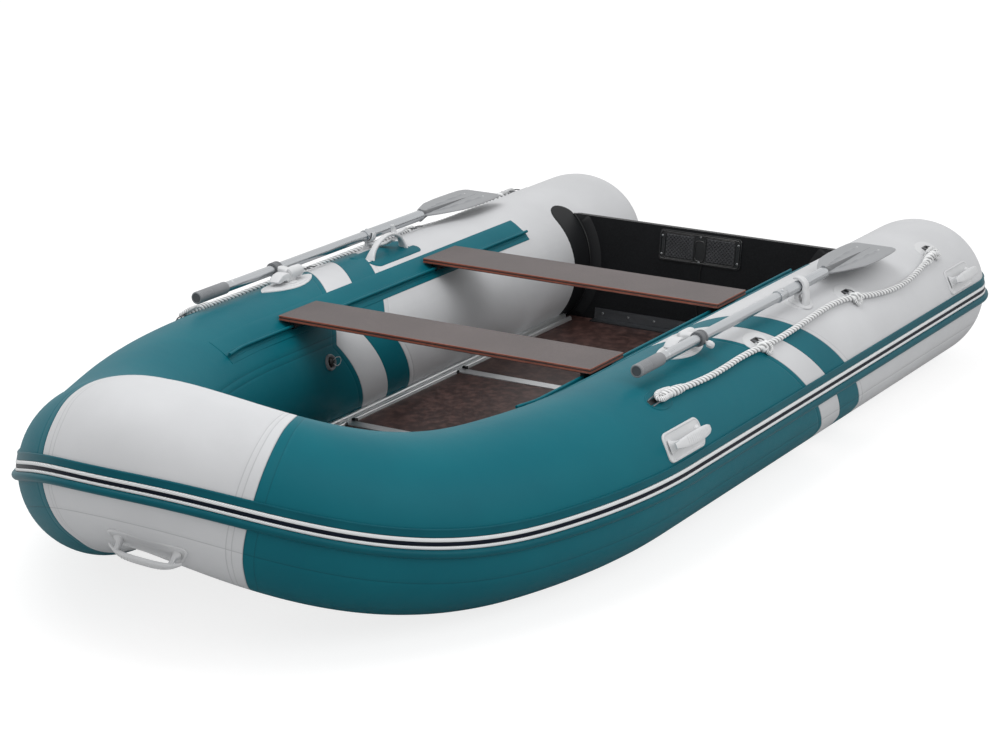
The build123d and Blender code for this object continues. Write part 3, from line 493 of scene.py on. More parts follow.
def surfaced(tree, shader, place, tone, grain, depth, stretch=EVEN, under=None):
    """Gives the shader its colour, and bumps of that size and depth in metres."""
    tree.links.new(tone, shader.inputs["Base Color"])
    size = node(tree, "Mapping", {"Vector": place, "Scale": stretch}).outputs[0]
    noise = node(tree, "TexNoise", {"Vector": size, "Scale": 1 / grain, "Detail": 2.0}).outputs["Fac"]
    bump = node(tree, "Bump", {"Height": noise, "Distance": depth, "Strength": 1.0})
    if under is not None:
        tree.links.new(under, bump.inputs["Normal"])
    tree.links.new(bump.outputs[0], shader.inputs["Normal"])


def worn(tree, shader, share, smoothest, roughest):
    """Lets the roughness follow the drift of the tone."""
    limits = {"Value": share, "To Min": smoothest, "To Max": roughest}
    tree.links.new(node(tree, "MapRange", limits).outputs[0], shader.inputs["Roughness"])


def coated_fabric(name, tones, roughness=0.42, gloss=0.3):
    """PVC-coated polyester, calendered and welded: satin, with the threads just showing
    through, slight slack between seams, and painted shade: a dark line along each glued edge and seam line."""
    material, tree, shader, place = started(name, roughness, gloss)
    tone, _ = drifting(tree, place, tones, 0.22)
    # Painted shade: glued edges and seam lines are mixed towards the third, dark tone.
    glue = node(tree, "Attribute", attribute_name="glue").outputs["Fac"]
    held = node(tree, "Math", {0: glue, 1: 0.55}, operation="MULTIPLY").outputs[0]
    shaded = node(tree, "Mix", {0: held, 6: tone, 7: linear(tones[2])}, data_type="RGBA").outputs[2]
    # The threads are 0.5 mm apart; drawn 2 mm apart, which still shows.
    thread = 0.002
    cloth = {"Vector": node(tree, "UVMap", uv_map="threads").outputs[0], "Scale": WAVE / thread}
    warp, weft = (node(tree, "TexWave", cloth, bands_direction=way).outputs["Fac"] for way in "XY")
    crossing = node(tree, "Math", {0: warp, 1: weft}, operation="MULTIPLY").outputs[0]
    weave = node(tree, "Bump", {"Height": crossing, "Distance": 0.00004}).outputs[0]
    surfaced(tree, shader, place, shaded, 0.11, 0.0012, under=weave)
    return material


def extruded_rubber(name, tones, roughness, line=0.0):
    """Extruded PVC rubber: fine lines along the pull, a soft gloss that shows its bulges."""
    material, tree, shader, place = started(name, roughness, 0.12)
    tone, _ = drifting(tree, place, tones, 0.09)
    if line:
        # A moulded hatch of fine slanting lines that the light stripes carry.
        slant = node(tree, "Mapping", {"Vector": place, "Rotation": (0.6, 0.9, 0.7)}).outputs[0]
        hatch = node(tree, "TexWave", {"Vector": slant, "Scale": WAVE / line}).outputs["Fac"]
        tone = node(tree, "Mix", {0: hatch, 6: tone, 7: linear(tones[2])}, data_type="RGBA").outputs[2]
    surfaced(tree, shader, place, tone, 0.004, 0.00006, ALONG_PULL)
    return material


def moulded_plastic(name, tones, roughness, gloss=0.5, grain=0.0015):
    """Injection-moulded nylon or ABS: an even colour with a spark-eroded grain, matt in the
    hollows, and worn a little brighter where the tone drifts."""
    material, tree, shader, place = started(name, roughness, gloss)
    tone, share = drifting(tree, place, tones, 0.06)
    worn(tree, shader, share, roughness - 0.04, roughness + 0.06)
    surfaced(tree, shader, place, tone, grain, 0.00003)
    return material


def laid_line(name, tones, roughness):
    """Braided polyester: soft, matt, with painted shade in the grooves between its strands."""
    material, tree, shader, place = started(name, roughness, 0.3)
    tone, _ = drifting(tree, place, tones, 0.012)
    groove_shade = node(tree, "Attribute", attribute_name="glue").outputs["Fac"]
    # The grooves are mixed towards the third, dark tone: painted shade.
    shaded = node(tree, "Mix", {0: groove_shade, 6: tone, 7: linear(tones[2])}, data_type="RGBA").outputs[2]
    surfaced(tree, shader, place, shaded, 0.0012, 0.0002)
    return material


def metal(name, tones, roughness, stretch):
    """Aluminium or steel drawn through a die: bright, with fine lines along the pull."""
    material, tree, shader, place = started(name, roughness, metallic=1.0)
    tone, share = drifting(tree, place, tones, 0.05, stretch=stretch)
    worn(tree, shader, share, roughness - 0.05, roughness + 0.07)
    surfaced(tree, shader, place, tone, 0.0012, 0.00002, stretch)
    return material


def film_faced_ply(name, tones, fleck, fleck_size, roughness, pressed, gloss):
    """Plywood faced with a phenolic film: the film's mottled colour and the mesh pressed in it."""
    material, tree, shader, place = started(name, roughness, gloss)
    tone, _ = drifting(tree, place, tones, 0.16, 1.3)
    speck = node(tree, "TexNoise", {"Vector": place, "Scale": 1 / fleck_size, "Detail": 5.0})
    limits = {"Value": speck.outputs["Fac"], "From Min": 0.42, "From Max": 0.68, "To Max": 0.8}
    shown = node(tree, "MapRange", limits).outputs[0]
    mottled = node(tree, "Mix", {0: shown, 6: tone, 7: linear(fleck)}, data_type="RGBA").outputs[2]
    surfaced(tree, shader, place, mottled, pressed, 0.00015)
    return material


def ply_edge(name, tones, glue_line, low, plies):
    """The cut edge of plywood, sealed: thin veneers of two tones with dark glue between."""
    material, tree, shader, place = started(name, 0.4)
    tone, _ = drifting(tree, place, tones, 0.03, 1.5, ALONG_PULL)
    lifted = node(tree, "Mapping", {"Vector": place, "Location": (0, 0, -low)}).outputs[0]
    bands = {"Vector": lifted, "Scale": WAVE / plies, "Distortion": 0.4}
    layer = node(tree, "TexWave", bands, bands_direction="Z", wave_profile="SIN").outputs["Fac"]
    shown = node(tree, "MapRange", {"Value": layer, "From Min": 0.15, "From Max": 0.6}).outputs[0]
    mixed = node(tree, "Mix", {0: shown, 6: linear(glue_line), 7: tone}, data_type="RGBA").outputs[2]
    surfaced(tree, shader, place, mixed, 0.0015, 0.0001, ALONG_PULL)
    return material


# The third tone of each fabric is its painted shade, along glued edges and seam lines.
grey_fabric = coated_fabric("calendered_pvc_grey", ("#c1c2c4", "#cacbcd", "#6d6f72"), 0.5, 0.2)
teal_fabric = coated_fabric("calendered_pvc_teal", ("#005a67", "#02616d", "#002730"), 0.5, 0.14)
patch_grey = coated_fabric("calendered_pvc_patch_grey", ("#c9cacc", "#d2d3d4", "#85878a"))
patch_teal = coated_fabric("calendered_pvc_patch_teal", ("#005662", "#025d69", "#002630"), 0.5, 0.14)
black_fabric = coated_fabric("calendered_pvc_black", ("#141517", "#1a1b1d", "#040405"), 0.55, 0.2)

rail_teal = extruded_rubber("extruded_rubber_teal", ("#004c58", "#02545f"), 0.4)
rail_white = extruded_rubber("extruded_rubber_white", ("#e4e5e6", "#eceded", "#cdd0d2"), 0.42, 0.004)
rail_navy = extruded_rubber("extruded_rubber_navy", ("#000817", "#020c1e"), 0.4)

white_nylon = moulded_plastic("moulded_nylon_white", ("#c6c7c9", "#cfd0d1"), 0.38, 0.3)
grey_nylon = moulded_plastic("moulded_nylon_grey", ("#77797c", "#7f8184"), 0.42, 0.35)
blade_grey = moulded_plastic("moulded_polypropylene_grey", ("#7f8184", "#8a8c8f"), 0.4, grain=0.002)
mid_grey = moulded_plastic("moulded_nylon_mid_grey", ("#5f6164", "#686a6d"), 0.42, 0.35)
dark_grey = moulded_plastic("moulded_nylon_dark_grey", ("#46484b", "#4f5154"), 0.42, 0.35)
black_abs = moulded_plastic("moulded_abs_black", ("#0c0d0e", "#121315"), 0.34, 0.35)
gloss_black = moulded_plastic("moulded_abs_black_gloss", ("#0a0b0c", "#101113"), 0.2, 0.7)
pad_grey = moulded_plastic("moulded_rubber_dark_grey", ("#2c2d30", "#343538"), 0.45, 0.5)

# The third tone is painted shade between the strands.
rope_white = laid_line("braided_polyester_white", ("#dddedf", "#eff0f0", "#35363a"), 0.75)
cord_black = laid_line("braided_polyester_black", ("#0b0b0c", "#141415", "#050506"), 0.7)

oar_aluminium = metal("anodised_aluminium_tube", ("#b2b5b8", "#c1c4c7"), 0.27, ALONG_BOAT)
floor_aluminium = metal("extruded_aluminium", ("#dfe1e2", "#eceded"), 0.38, ALONG_BOAT)
cross_aluminium = metal("extruded_aluminium_cross", ("#dcdedf", "#e9eaeb"), 0.42, ACROSS_BOAT)
wire_steel = metal("drawn_steel_wire", ("#5a5c5f", "#707275"), 0.3, EVEN)
screw_steel = metal("zinc_plated_steel", ("#b9bbbd", "#cdcfd0"), 0.28, EVEN)
black_anodised = metal("anodised_aluminium_black", ("#55575a", "#626467"), 0.42, BROAD)

floor_film = film_faced_ply(
    "film_faced_ply_floor", ("#251715", "#33211e"), "#543d38", 0.022, 0.46, 0.003, 0.32
)
seat_film = film_faced_ply(
    "film_faced_ply_seat", ("#4b4241", "#554b4a"), "#3d3534", 0.003, 0.42, 0.0015, 0.26
)
transom_film = film_faced_ply(
    "film_faced_ply_transom", ("#0b0c0e", "#111214"), "#1a1b1d", 0.004, 0.45, 0.0015, 0.14
)
seat_low, seat_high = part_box("seat_front")
seat_edge = ply_edge("sealed_ply_edge", ("#7a3c2a", "#965039"), "#120705", seat_low.z, 0.0088)
seat_arris = ply_edge("sealed_ply_arris", ("#b8674a", "#c67a5c"), "#8a4833", seat_high.z, 0.02)

# ------------------------------------------------------------------ tube panels
# Turns of the tube go from the port bottom skin's seam, up inside the boat, over and down.
SEAM_TURN = -145.0
LAP = 0.0009  # how far one sheet of fabric stands off the one below
TAPE_LINES = (-64.0, -59.0, 113.0)  # long seams: two inside, one below the rail
LINE_HALF, LINE_CLEAR = 0.55, 1.6  # degrees

turns = set(np.round(np.linspace(SEAM_TURN, SEAM_TURN + 360, 97), 3))
for line in TAPE_LINES:
    turns -= {turn for turn in turns if abs(turn - line) < LINE_CLEAR}
    turns |= {line - LINE_HALF, line, line + LINE_HALF}
TURNS = np.array(sorted(turns))
BELOW_RAIL = np.isin(TURNS, TAPE_LINES[2:]).astype(float)
ALL_LINES = np.isin(TURNS, TAPE_LINES).astype(float)

# The nose panel's edges: (turn, way along the tube) places.
NOSE_PORT = [
    (-145, 3.09), (-60, 3.14), (-9, 3.204), (25, 3.256), (52, 3.276), (74, 3.279), (94, 3.272),
    (107, 3.264), (119, 3.252), (137, 3.226), (155, 3.198), (215, 3.08),
]
NOSE_STARBOARD = [
    (-145, 3.56), (-60, 3.53), (-12, 3.55), (0, 3.58), (12, 3.604), (30, 3.611), (53, 3.604),
    (73, 3.609), (93, 3.621), (108, 3.632), (128, 3.652), (145, 3.67), (161, 3.72), (215, 3.86),
]
# Lines along a panel's edge: (how far in from it, share of a lap's height, painted shade).
END_LINES = ((0.0, 0.0, 1.0), (0.0015, 1.0, 0.3), (0.003, 1.0, 0.0))
# A tape's middle line dips towards the skin and takes painted shade, a dark groove.
TAPE_IN = ((0.0205, 1.0, 0.0), (0.022, 0.35, 0.6), (0.0235, 1.0, 0.0))
SECOND_TAPE = ((0.0315, 1.0, 0.0), (0.033, 0.35, 0.6), (0.0345, 1.0, 0.0))
GREY, TEAL = (grey_fabric, "grey_fabric"), (teal_fabric, "teal_fabric")


def band_edge(inside_x, outside_x):
    """Where a colour band's edge crosses each turn of the tube: it slants aft from inside to
    outside, so that it lies across the boat when seen from above."""

    def edge(turn):
        u = np.clip((turn + 66) / 189, 0, 1)
        x = inside_x + (outside_x - inside_x) * u + 0.035 * 4 * u * (1 - u)
        x -= 0.00285 * np.clip(-66 - turn, 0, None) + 0.0012 * np.clip(turn - 123, 0, None)
        return at_x(x)

    return edge


def nose_edge(places):
    """A smooth edge through (turn, s) places."""
    smooth = curve(places, steps=400, power=1.0)
    return lambda turn: np.interp(turn, smooth[:, 0], smooth[:, 1])


def stern_edge(turn):
    """Just short of the round cap's pole."""
    return np.full(np.shape(turn), -CAP * 0.998)


aft_edge, stripe_edge = band_edge(-0.070, -0.735), band_edge(0.052, -0.592)
bow_edge = band_edge(0.188, -0.462)
nose_port_edge, nose_starboard_edge = nose_edge(NOSE_PORT), nose_edge(NOSE_STARBOARD)


def tube_panel(name, start, end, cloth, tapes=(), side="port", replaces=(), seams=BELOW_RAIL):
    """A panel of the tube between two edges, with its glued laps and seam lines."""
    pole = start is stern_edge
    first, last = start(TURNS), end(TURNS)
    lines = END_LINES + tapes
    fore = ((0.0, 1.0, 0.0),) if pole else lines
    steps = max(4, round(float(np.median(last - first)) / 0.015))
    low = first + (fore[-1][0] + (0.0 if pole else 0.006))
    high = last - (lines[-1][0] + 0.006)
    rows = [(first + into, up, glue) for into, up, glue in fore]
    for share in np.linspace(0, 1, steps)[1 if pole else 0 :]:
        rows.append((low + (high - low) * share, 1.0, 0.0))
    rows += [(last - into, up, glue) for into, up, glue in reversed(lines)]
    rings = [on_skin(s, TURNS, LAP * up * (1 - 0.7 * seams)) for s, up, _ in rows]
    # Painted shade: seam lines and the rows at a lap's edge and in a tape's groove are drawn dark.
    glue = np.concatenate([np.maximum(seams * 0.75, lap_shade) for *_, lap_shade in rows])
    threads = np.stack([np.stack([s + 0 * TURNS, np.radians(TURNS) * TUBE_R], -1) for s, *_ in rows])
    made = sheet(rings)._replace(threads=threads.reshape(-1, 2), glue=glue)
    if pole:
        made.faces.append(list(range(len(TURNS))))
    material, slot = cloth
    piece(name, on_side(side, [made]), material, sharp=60, replaces=replaces)


for side, nose_at in (
    ("port", nose_port_edge),
    ("starboard", lambda turn: 2 * HALF - nose_starboard_edge(turn)),
):
    bow_nodes = [f"bow_shoulder_{side}", f"bow_cheek_{side}"]
    tube_panel(f"aft_panel_{side}", stern_edge, aft_edge, GREY, TAPE_IN, side, [f"side_tube_{side}"])
    tube_panel(f"teal_stripe_{side}", aft_edge, stripe_edge, TEAL, side=side)
    tube_panel(f"grey_stripe_{side}", stripe_edge, bow_edge, GREY, side=side)
    tube_panel(f"bow_panel_{side}", bow_edge, nose_at, TEAL, TAPE_IN, side, bow_nodes, ALL_LINES)
tube_panel("nose_panel", nose_port_edge, nose_starboard_edge, GREY, TAPE_IN + SECOND_TAPE,
           replaces=["bow_nose"], seams=ALL_LINES)

# ------------------------------------------------------------------ rub rail
RAIL_END = math.radians(52)  # how far it turns round each stern end
# Each strip: its section as (millimetres above the tube's equator, millimetres off the tube).
# The base is a navy strip under all the others, seen only in the 1 mm gaps between them, where it draws dark
# lines: painted shade between the strips.
RAIL_GAP_SHADE = [(54, 0.2), (-17, 0.2), (-17, 3.4), (54, 3.4)]
RAIL_BAND = [
    (55, 0.4), (55, 3.0), (54, 5.2), (51.5, 6.0), (49, 5.0), (46, 4.4), (36, 4.6), (34, 4.2),
    (33.6, 3.0), (33.6, 0.4),
]
RAIL_STRIPES = [
    [(32.6, 0.4), (32.6, 5.0), (31.6, 5.8), (28, 6.2), (24.4, 5.8), (23.4, 5.0), (23.4, 0.4)],
    [(12.6, 0.4), (12.6, 5.0), (11.6, 5.8), (8.5, 6.2), (5.6, 5.8), (4.8, 5.0), (4.8, 0.4)],
]
RAIL_NAVY = [(22.2, 0.4), (22.2, 4.6), (20, 5.0), (16, 5.0), (13.8, 4.6), (13.8, 0.4)]
RAIL_BEAD = [
    (3.6, 0.4), (3.6, 8.0), (2.0, 12.0), (-1.0, 14.8), (-5.0, 16.0), (-9.0, 15.6), (-13.0, 13.6),
    (-16.5, 10.0), (-19.0, 5.0), (-20.0, 0.4),
]


def rail_line(s, above, off):
    """A line of the rail: round the tube's side, and turned level about each stern end."""
    turn = 90 - np.degrees(above / TUBE_R)
    line = on_skin(np.clip(s, 0, 2 * HALF), turn, off)
    for port, extra in ((1, np.clip(-s, 0, None)), (-1, np.clip(s - 2 * HALF, 0, None))):
        angle = extra / TUBE_R
        reach = (TUBE_R + off) * math.sin(math.radians(turn))
        swing = np.stack([-np.sin(angle) * reach, port * (np.cos(angle) - 1) * reach, 0 * s], -1)
        line = line + swing * (angle > 0)[:, None]
    return line


def rail_strip(section):
    past = RAIL_END * TUBE_R
    s = np.concatenate([
        np.linspace(-past, 0, 24)[:-1],
        np.linspace(0, STRAIGHT, 40)[:-1],
        np.linspace(STRAIGHT, 2 * HALF - STRAIGHT, 220),
        np.linspace(2 * HALF - STRAIGHT, 2 * HALF, 40)[1:],
        np.linspace(2 * HALF, 2 * HALF + past, 24)[1:],
    ])
    return loft(np.stack([rail_line(s, above * MM, off * MM) for above, off in section], 1))


for name, sections, rubber, replaces in (
    ("rail_bands", [RAIL_BAND, RAIL_BEAD], rail_teal, ["rub_rail"]),
    ("rail_stripes", RAIL_STRIPES, rail_white, ()),
    # The navy piece is the real navy stripe and the painted shade in the gaps.
    ("rail_navy_and_gap_shade", [RAIL_GAP_SHADE, RAIL_NAVY], rail_navy, ()),
):
    strips = [rail_strip(section) for section in sections]
    piece(name, strips, rubber, sharp=50, replaces=replaces)

# ------------------------------------------------------------------ bottom skin
KEEL_BOW = [(0.57, 0.0), (1.2, 0.0), (1.44, 0.02), (1.490, 0.276)]
KEEL_BEND_X, PANEL_BEND_X = KEEL_BOW[0][0], 0.45
FLANGE = 0.040


def bottom_half():
    """From the keel out to the seam under the tube, with the flange that is glued to it."""
    stern, bend = at_x(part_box("transom")[0].x), at_x(PANEL_BEND_X)
    s = np.concatenate([np.linspace(stern, bend, 30)[:-1], np.linspace(bend, HALF, 60)])
    seam = on_skin(s, SEAM_TURN, 0.0008)
    bow = cubic(KEEL_BOW, np.linspace(0, 1, 200))
    share = np.clip((seam[:, 0] - KEEL_BEND_X) / (seam[-1, 0] - KEEL_BEND_X), 0, 1)
    bent_x = KEEL_BEND_X + share * (bow[-1, 0] - KEEL_BEND_X)
    keel_x = np.where(seam[:, 0] < KEEL_BEND_X, seam[:, 0], bent_x)
    keel = np.column_stack([keel_x, 0 * keel_x, np.interp(keel_x, bow[:, 0], bow[:, 1])])
    keel[-1] = seam[-1]
    rings = []
    for share in np.linspace(0, 1, 11):
        ring = keel + (seam - keel) * share
        ring[:, 2] += 0.0015 - 0.004 * math.sin(math.pi * share)
        rings.append(np.maximum(ring, (-9, 0, 0.0005)))
    for around in (0.004, 0.012, 0.024, FLANGE):
        lift = 0.0022 if around < FLANGE else 0.0004
        rings.append(on_skin(s, 360 + SEAM_TURN - np.degrees(around / TUBE_R), lift))
    return sheet(np.stack(rings, 1))


piece("bottom_skin", both([bottom_half()]), grey_fabric, sharp=50,
      replaces=["hull_bottom_port", "hull_bottom_starboard"])

# ------------------------------------------------------------------ lifelines
# Where rope is wound round the lifeline: from and to along it, radii in millimetres, pitch.
LAPS = [
    (0.010, 0.135, [11, 13.5, 14.5, 13, 14.5, 13.6, 12, 9.0], 0.050),
    (0.582, 0.636, [9, 14.5, 16, 13.2, 16, 13, 9], 0.060),
    (1.212, 1.266, [9, 14.5, 16, 13.2, 16, 13, 9], 0.060),
    (1.765, 1.868, [9, 13, 12, 17, 14, 18, 14, 17, 12, 9], 0.060),
]


def lifeline(side, name):
    """The rope along a tube's outer side: spliced round its fore ring, knotted at its aft one."""
    route = np.array([(x, *beside_straight(math.radians(turn), ROPE_REACH)) for x, turn in LIFELINE])
    line = spline_line(route * (1, side, 1))
    strands = laid_rope(line, [ROPE_CROWN] * 2, STRAND_PITCH, 0.34, 0.0014)
    rope = piece(f"rope_{name}", [strands], rope_white, sharp=80, replaces=[f"lifeline_{name}"])
    path, at = spaced(line, 0.002)
    laps = []
    for start, end, radii, pitch in LAPS:
        span = path[(at >= start) & (at <= end)]
        laps.append(laid_rope(span, [radius * MM for radius in radii], pitch, 0.3, 0.0015))
    wrap = piece(f"rope_{name}_laps", laps, rope_white, sharp=80)


for side, name in SIDES:
    lifeline(side, name)

# ------------------------------------------------------------------ screws
SCREW_R = 0.004


def screw(where):
    """A round-headed screw drawn about z and put in place, and black bars over its cross slot: painted shade
    in the slot.
    """
    head = lathed([(SCREW_R, 0), (SCREW_R, 0.0006), (SCREW_R * 0.8, 0.0018), (SCREW_R * 0.3, 0.0022)], 16)
    slot_shades = []
    for length, width in ((1.2, 0.22), (0.22, 1.2)):
        size = (SCREW_R * length, SCREW_R * width, 0.0001)
        bar = stacked(box_outline, size, [(0, 0), (0, 0.0005)], steps=2)
        slot_shades.append(zoned(moved(shifted(bar, 0, 0, 0.0019), where), 1))
    return moved(head, where), slot_shades


def screws(name, places):
    heads, all_slot_shades = [], []
    for where in places:
        head, slot_shades = screw(where)
        heads.append(head)
        all_slot_shades += slot_shades
    # The cross slots are drawn as black bars: painted shade in the slots.
    piece(name, heads + all_slot_shades, [screw_steel, cord_black])


# ------------------------------------------------------------------ rope eyes
# Each eye: place along the boat, its patch's turn, and how far outboard of it the rope lies.
EYES = [(0.448, 33.0, 0.0), (-0.155, 29.6, 0.030), (-0.775, 30.6, 0.030), (-1.405, 31.0, 0.025)]
teal_eyes, grey_eyes, eye_slot_shades, rings, loops = [], [], [], [], []


def end_loop():
    """The eye spliced into the rope's end, round the ring."""
    half = [(-0.050, -0.005, 0.016), (-0.014, -0.0095, 0.0165), (0.012, -0.0095, 0.0145)]
    line = curve(mirrored(half, (1, -1, 1), [(0.021, 0, 0.012)]), 80)
    return laid_rope(line, [0.0068] * 2, 0.015, 0.3, 0.0012, sides=14)


def hanging_lap():
    """A turn of the lashing that has slipped down beside the rope."""
    hung = [
        (-0.014, 0.004, 0.018), (-0.010, 0.017, 0.014), (0.004, 0.023, 0.007),
        (0.016, 0.014, 0.012), (0.014, -0.004, 0.019),
    ]
    return laid_rope(curve(hung, 50), [0.0058] * 2, 0.014, 0.3, 0.0012, sides=12)


for number, (x, turn, beside) in enumerate(EYES):
    where = on_tube(at_x(x), turn)
    first, last = number == 0, number == len(EYES) - 1
    pad = stacked(oval_outline, (0.056, 0.034), [(0, 0.0002), (0, 0.0012), (0.0012, 0.0024)], fill=0.030)
    (teal_eyes if first else grey_eyes).append(moved(pad, where))
    # A black block where the patch opens under its ring: painted shade in the slot.
    slot_shade_box = stacked(box_outline, (0.036, 0.016, 0.002), [(0, 0.002), (0.0008, 0.0032)])
    eye_slot_shades.append(moved(shifted(slot_shade_box, 0.034 if first else 0.0, -0.002, 0), where))
    if first:
        half = [(0.046, -0.010, 0.002), (0.030, -0.0105, 0.009), (0.006, -0.009, 0.0105)]
        bent = mirrored(half, (1, -1, 1), [(0.000, 0, 0.011)])
        loops.append(moved(end_loop(), where))
    else:
        half = [(-0.014, -0.008, 0.003), (-0.017, 0.010, 0.011), (-0.006, beside + 0.008, 0.016)]
        bent = mirrored(half, (-1, 1, 1))
        loops.append(moved(shifted(hanging_lap(), 0, beside, 0), where))
    if last:
        tied = moved(end_loop(), lambda points: points * (-1, -1, 1) + (0.004, beside, 0))
        loops.append(moved(tied, where))
    rings.append(moved(wire(curve(bent, 40), 0.0019), where))
piece("rope_eye_patches_teal", both(teal_eyes), patch_teal)
piece("rope_eye_patches_grey", both(grey_eyes), patch_grey, replaces=["rope_eyes"])
piece("rope_eye_slot_shades", both(eye_slot_shades), black_abs)
piece("rope_eye_rings", both(rings), wire_steel)
piece("rope_eye_loops", both(loops), rope_white, sharp=80)

# ------------------------------------------------------------------ carry handles
HANDLE_X, HANDLE_TURN, HANDLE_HALF = (0.455, -1.477), 64.5, 0.0875
NOSE_HANDLE_S, NOSE_HANDLE_TURN, BEND_STRETCH = 3.428, 133.0, 1.2


def carry_handle(where, arch=0.004, droop=0.006):
    """A rimmed plate, two flared posts, and a strap that runs on past both."""

    def height(low, along):
        share = along / HANDLE_HALF
        return low + arch * (1 - share**2) - droop * share**4

    rim = [(0, 0.0004), (0, 0.0030), (0.0012, 0.0052), (0.0055, 0.0056), (0.0075, 0.0036), (0.014, 0.0030)]
    plate = stacked(box_outline, (0.185, 0.080, 0.02), rim, fill=0.038)
    ends = np.linspace(-HANDLE_HALF, HANDLE_HALF, 24)
    bar = strap(
        np.column_stack([ends, 0 * ends, height(0.037, ends)]),
        PORT,
        [0.012, 0.022, 0.026, 0.027, 0.027, 0.026, 0.022, 0.012],
        [0.005, 0.010, 0.011, 0.011, 0.011, 0.011, 0.010, 0.005],
    )
    shapes = [plate, bar]
    for end in (-1, 1):
        foot = curve([(end * 0.0705, 0, 0.002), (end * 0.066, 0, 0.014), (end * 0.064, 0, 0.037)], 12)
        shapes.append(strap(foot, PORT, [0.040, 0.024, 0.020, 0.022], [0.024, 0.014, 0.012, 0.013]))
    for rib in np.linspace(-0.048, 0.048, 13):
        crown = height(0.0416, rib)
        ridge = [(rib, -0.008, crown), (rib, 0, crown + 0.0002), (rib, 0.008, crown)]
        shapes.append(strap(curve(ridge, 8), FORE, [0.0030] * 2, [0.0030] * 2))
    return [moved(shape, where) for shape in shapes]


handles = []
for x in HANDLE_X:
    handles += carry_handle(on_tube(at_x(x), HANDLE_TURN))
nose_handle = carry_handle(on_tube(NOSE_HANDLE_S, NOSE_HANDLE_TURN, BEND_STRETCH), 0.006, 0.016)
piece("side_handles", both(handles), white_nylon, bevel=0.0012,
      replaces=["carry_handles"])
piece("nose_handle", nose_handle, white_nylon, bevel=0.0012,
      replaces=["bow_handle"])

# ------------------------------------------------------------------ valves
VALVE_X, VALVE_TURN = 0.241, -76.0
# Turned profiles: (radius, height) in millimetres.
VALVE_RING = [(24, 0.4), (24, 3.5), (22.5, 6.6), (20, 8), (17.5, 7.4), (16, 5), (15.5, 1.5)]
VALVE_CORE = [(15.6, 1.0), (15.6, 2.6), (10, 2.8), (9.2, 6.0), (7.5, 7.0), (2, 7.2)]
LANYARD = [
    (-0.010, 0.004, 0.006), (-0.016, 0.010, 0.016), (-0.026, 0.006, 0.020), (-0.028, -0.008, 0.016),
    (-0.018, -0.014, 0.010), (-0.008, -0.006, 0.006),
]
ring = lathed([(r * MM, h * MM) for r, h in VALVE_RING], 40, ends=(True, False))
core = lathed([(r * MM, h * MM) for r, h in VALVE_CORE], 28)
bar = stacked(box_outline, (0.030, 0.0022, 0.0004), [(0, 0.0026), (0.0004, 0.0048)])
crossing = moved(bar, lambda points: points @ np.array([(0, 1, 0), (-1, 0, 0), (0, 0, 1)]))
for name, shapes, material, slot, replaces in (
    ("rings", [ring], grey_nylon, "grey_plastic", ["valves"]),
    ("cores", [core, bar, crossing], black_abs, "black_plastic", ()),
    ("lanyards", [wire(curve(LANYARD, 40), 0.0011)], white_nylon, "white_plastic", ()),
):
    shapes = [moved(shape, on_tube(at_x(VALVE_X), VALVE_TURN)) for shape in shapes]
    piece(f"valve_{name}", both(shapes), material, replaces=replaces)

# ------------------------------------------------------------------ oars
PIVOT_Y, SHAFT_Y, SHAFT_Z = 0.640, 0.690, 0.485
OARLOCK_X, CLAMP_BACK, HEAD_LOW = 0.115, 0.012, 0.4606
# Along the oar from its lock: the grip's two ends, where the shaft steps into the sleeve and
# the blade's neck. Then the blade's length.
GRIP_TO, GRIP_FROM, STEP, NECK, BLADE_L = 0.353, 0.216, -0.550, -0.837, 0.388
SHAFT_R, SLEEVE_R, GRIP_R = 0.015, 0.017, 0.018
OAR_SLIDE = {"port": 0.0, "starboard": 0.020}  # how far forward each oar is clamped
REST_X = {"port": -0.540, "starboard": -0.400}
KNOB_DROP = 20.0  # degrees below level
BLADE_STEPS, DOT_AT = 60, 0.86
REST_PAD = [(0, 0.0002), (0, 0.0016), (0.0015, 0.0026)]
# Half the blade's width at shares of its length from the neck.
BLADE_ALONG = [0.0, 0.06, 0.18, 0.37, 0.56, 0.80, 0.93, 0.985, 1.0]
BLADE_WIDE = [0.0165, 0.031, 0.051, 0.0765, 0.0825, 0.0815, 0.0785, 0.072, 0.060]
# Sections and turned profiles in millimetres.
JAW = [
    (2, 0), (0, 10), (2, 20), (12, 27), (28, 29.5), (46, 26), (62, 17), (69, 10), (66, 5), (52, 6.5),
    (38, 8.5), (26, 8), (20, 4.5), (18, 0),
]
BARREL = [(-70, 9), (-69.5, 13), (-66, 16.3), (-60, 17.6), (-35, 18.3), (-14, 17.8), (-6, 15), (-4, 9)]
KNOB = [(3.6, 14), (3.6, 25), (8.0, 26), (10.6, 30), (11, 37), (9.5, 43), (5.5, 47), (3, 47.5)]
# How the jaw rounds off to its sides: (share of its half width, share of its outline's size).
ROUNDED = [(0.4, 1.0), (0.75, 0.985), (0.93, 0.92), (1, 0.80)]


def along_x(profile, ends=BOTH):
    """A turned part about the oar's line, from (place along x, radius) pairs."""
    spun = lathed([(r, x) for x, r in profile], 36, ends)
    return moved(spun, lambda p: np.column_stack([p[:, 2], SHAFT_Y + p[:, 0], SHAFT_Z + p[:, 1]]))


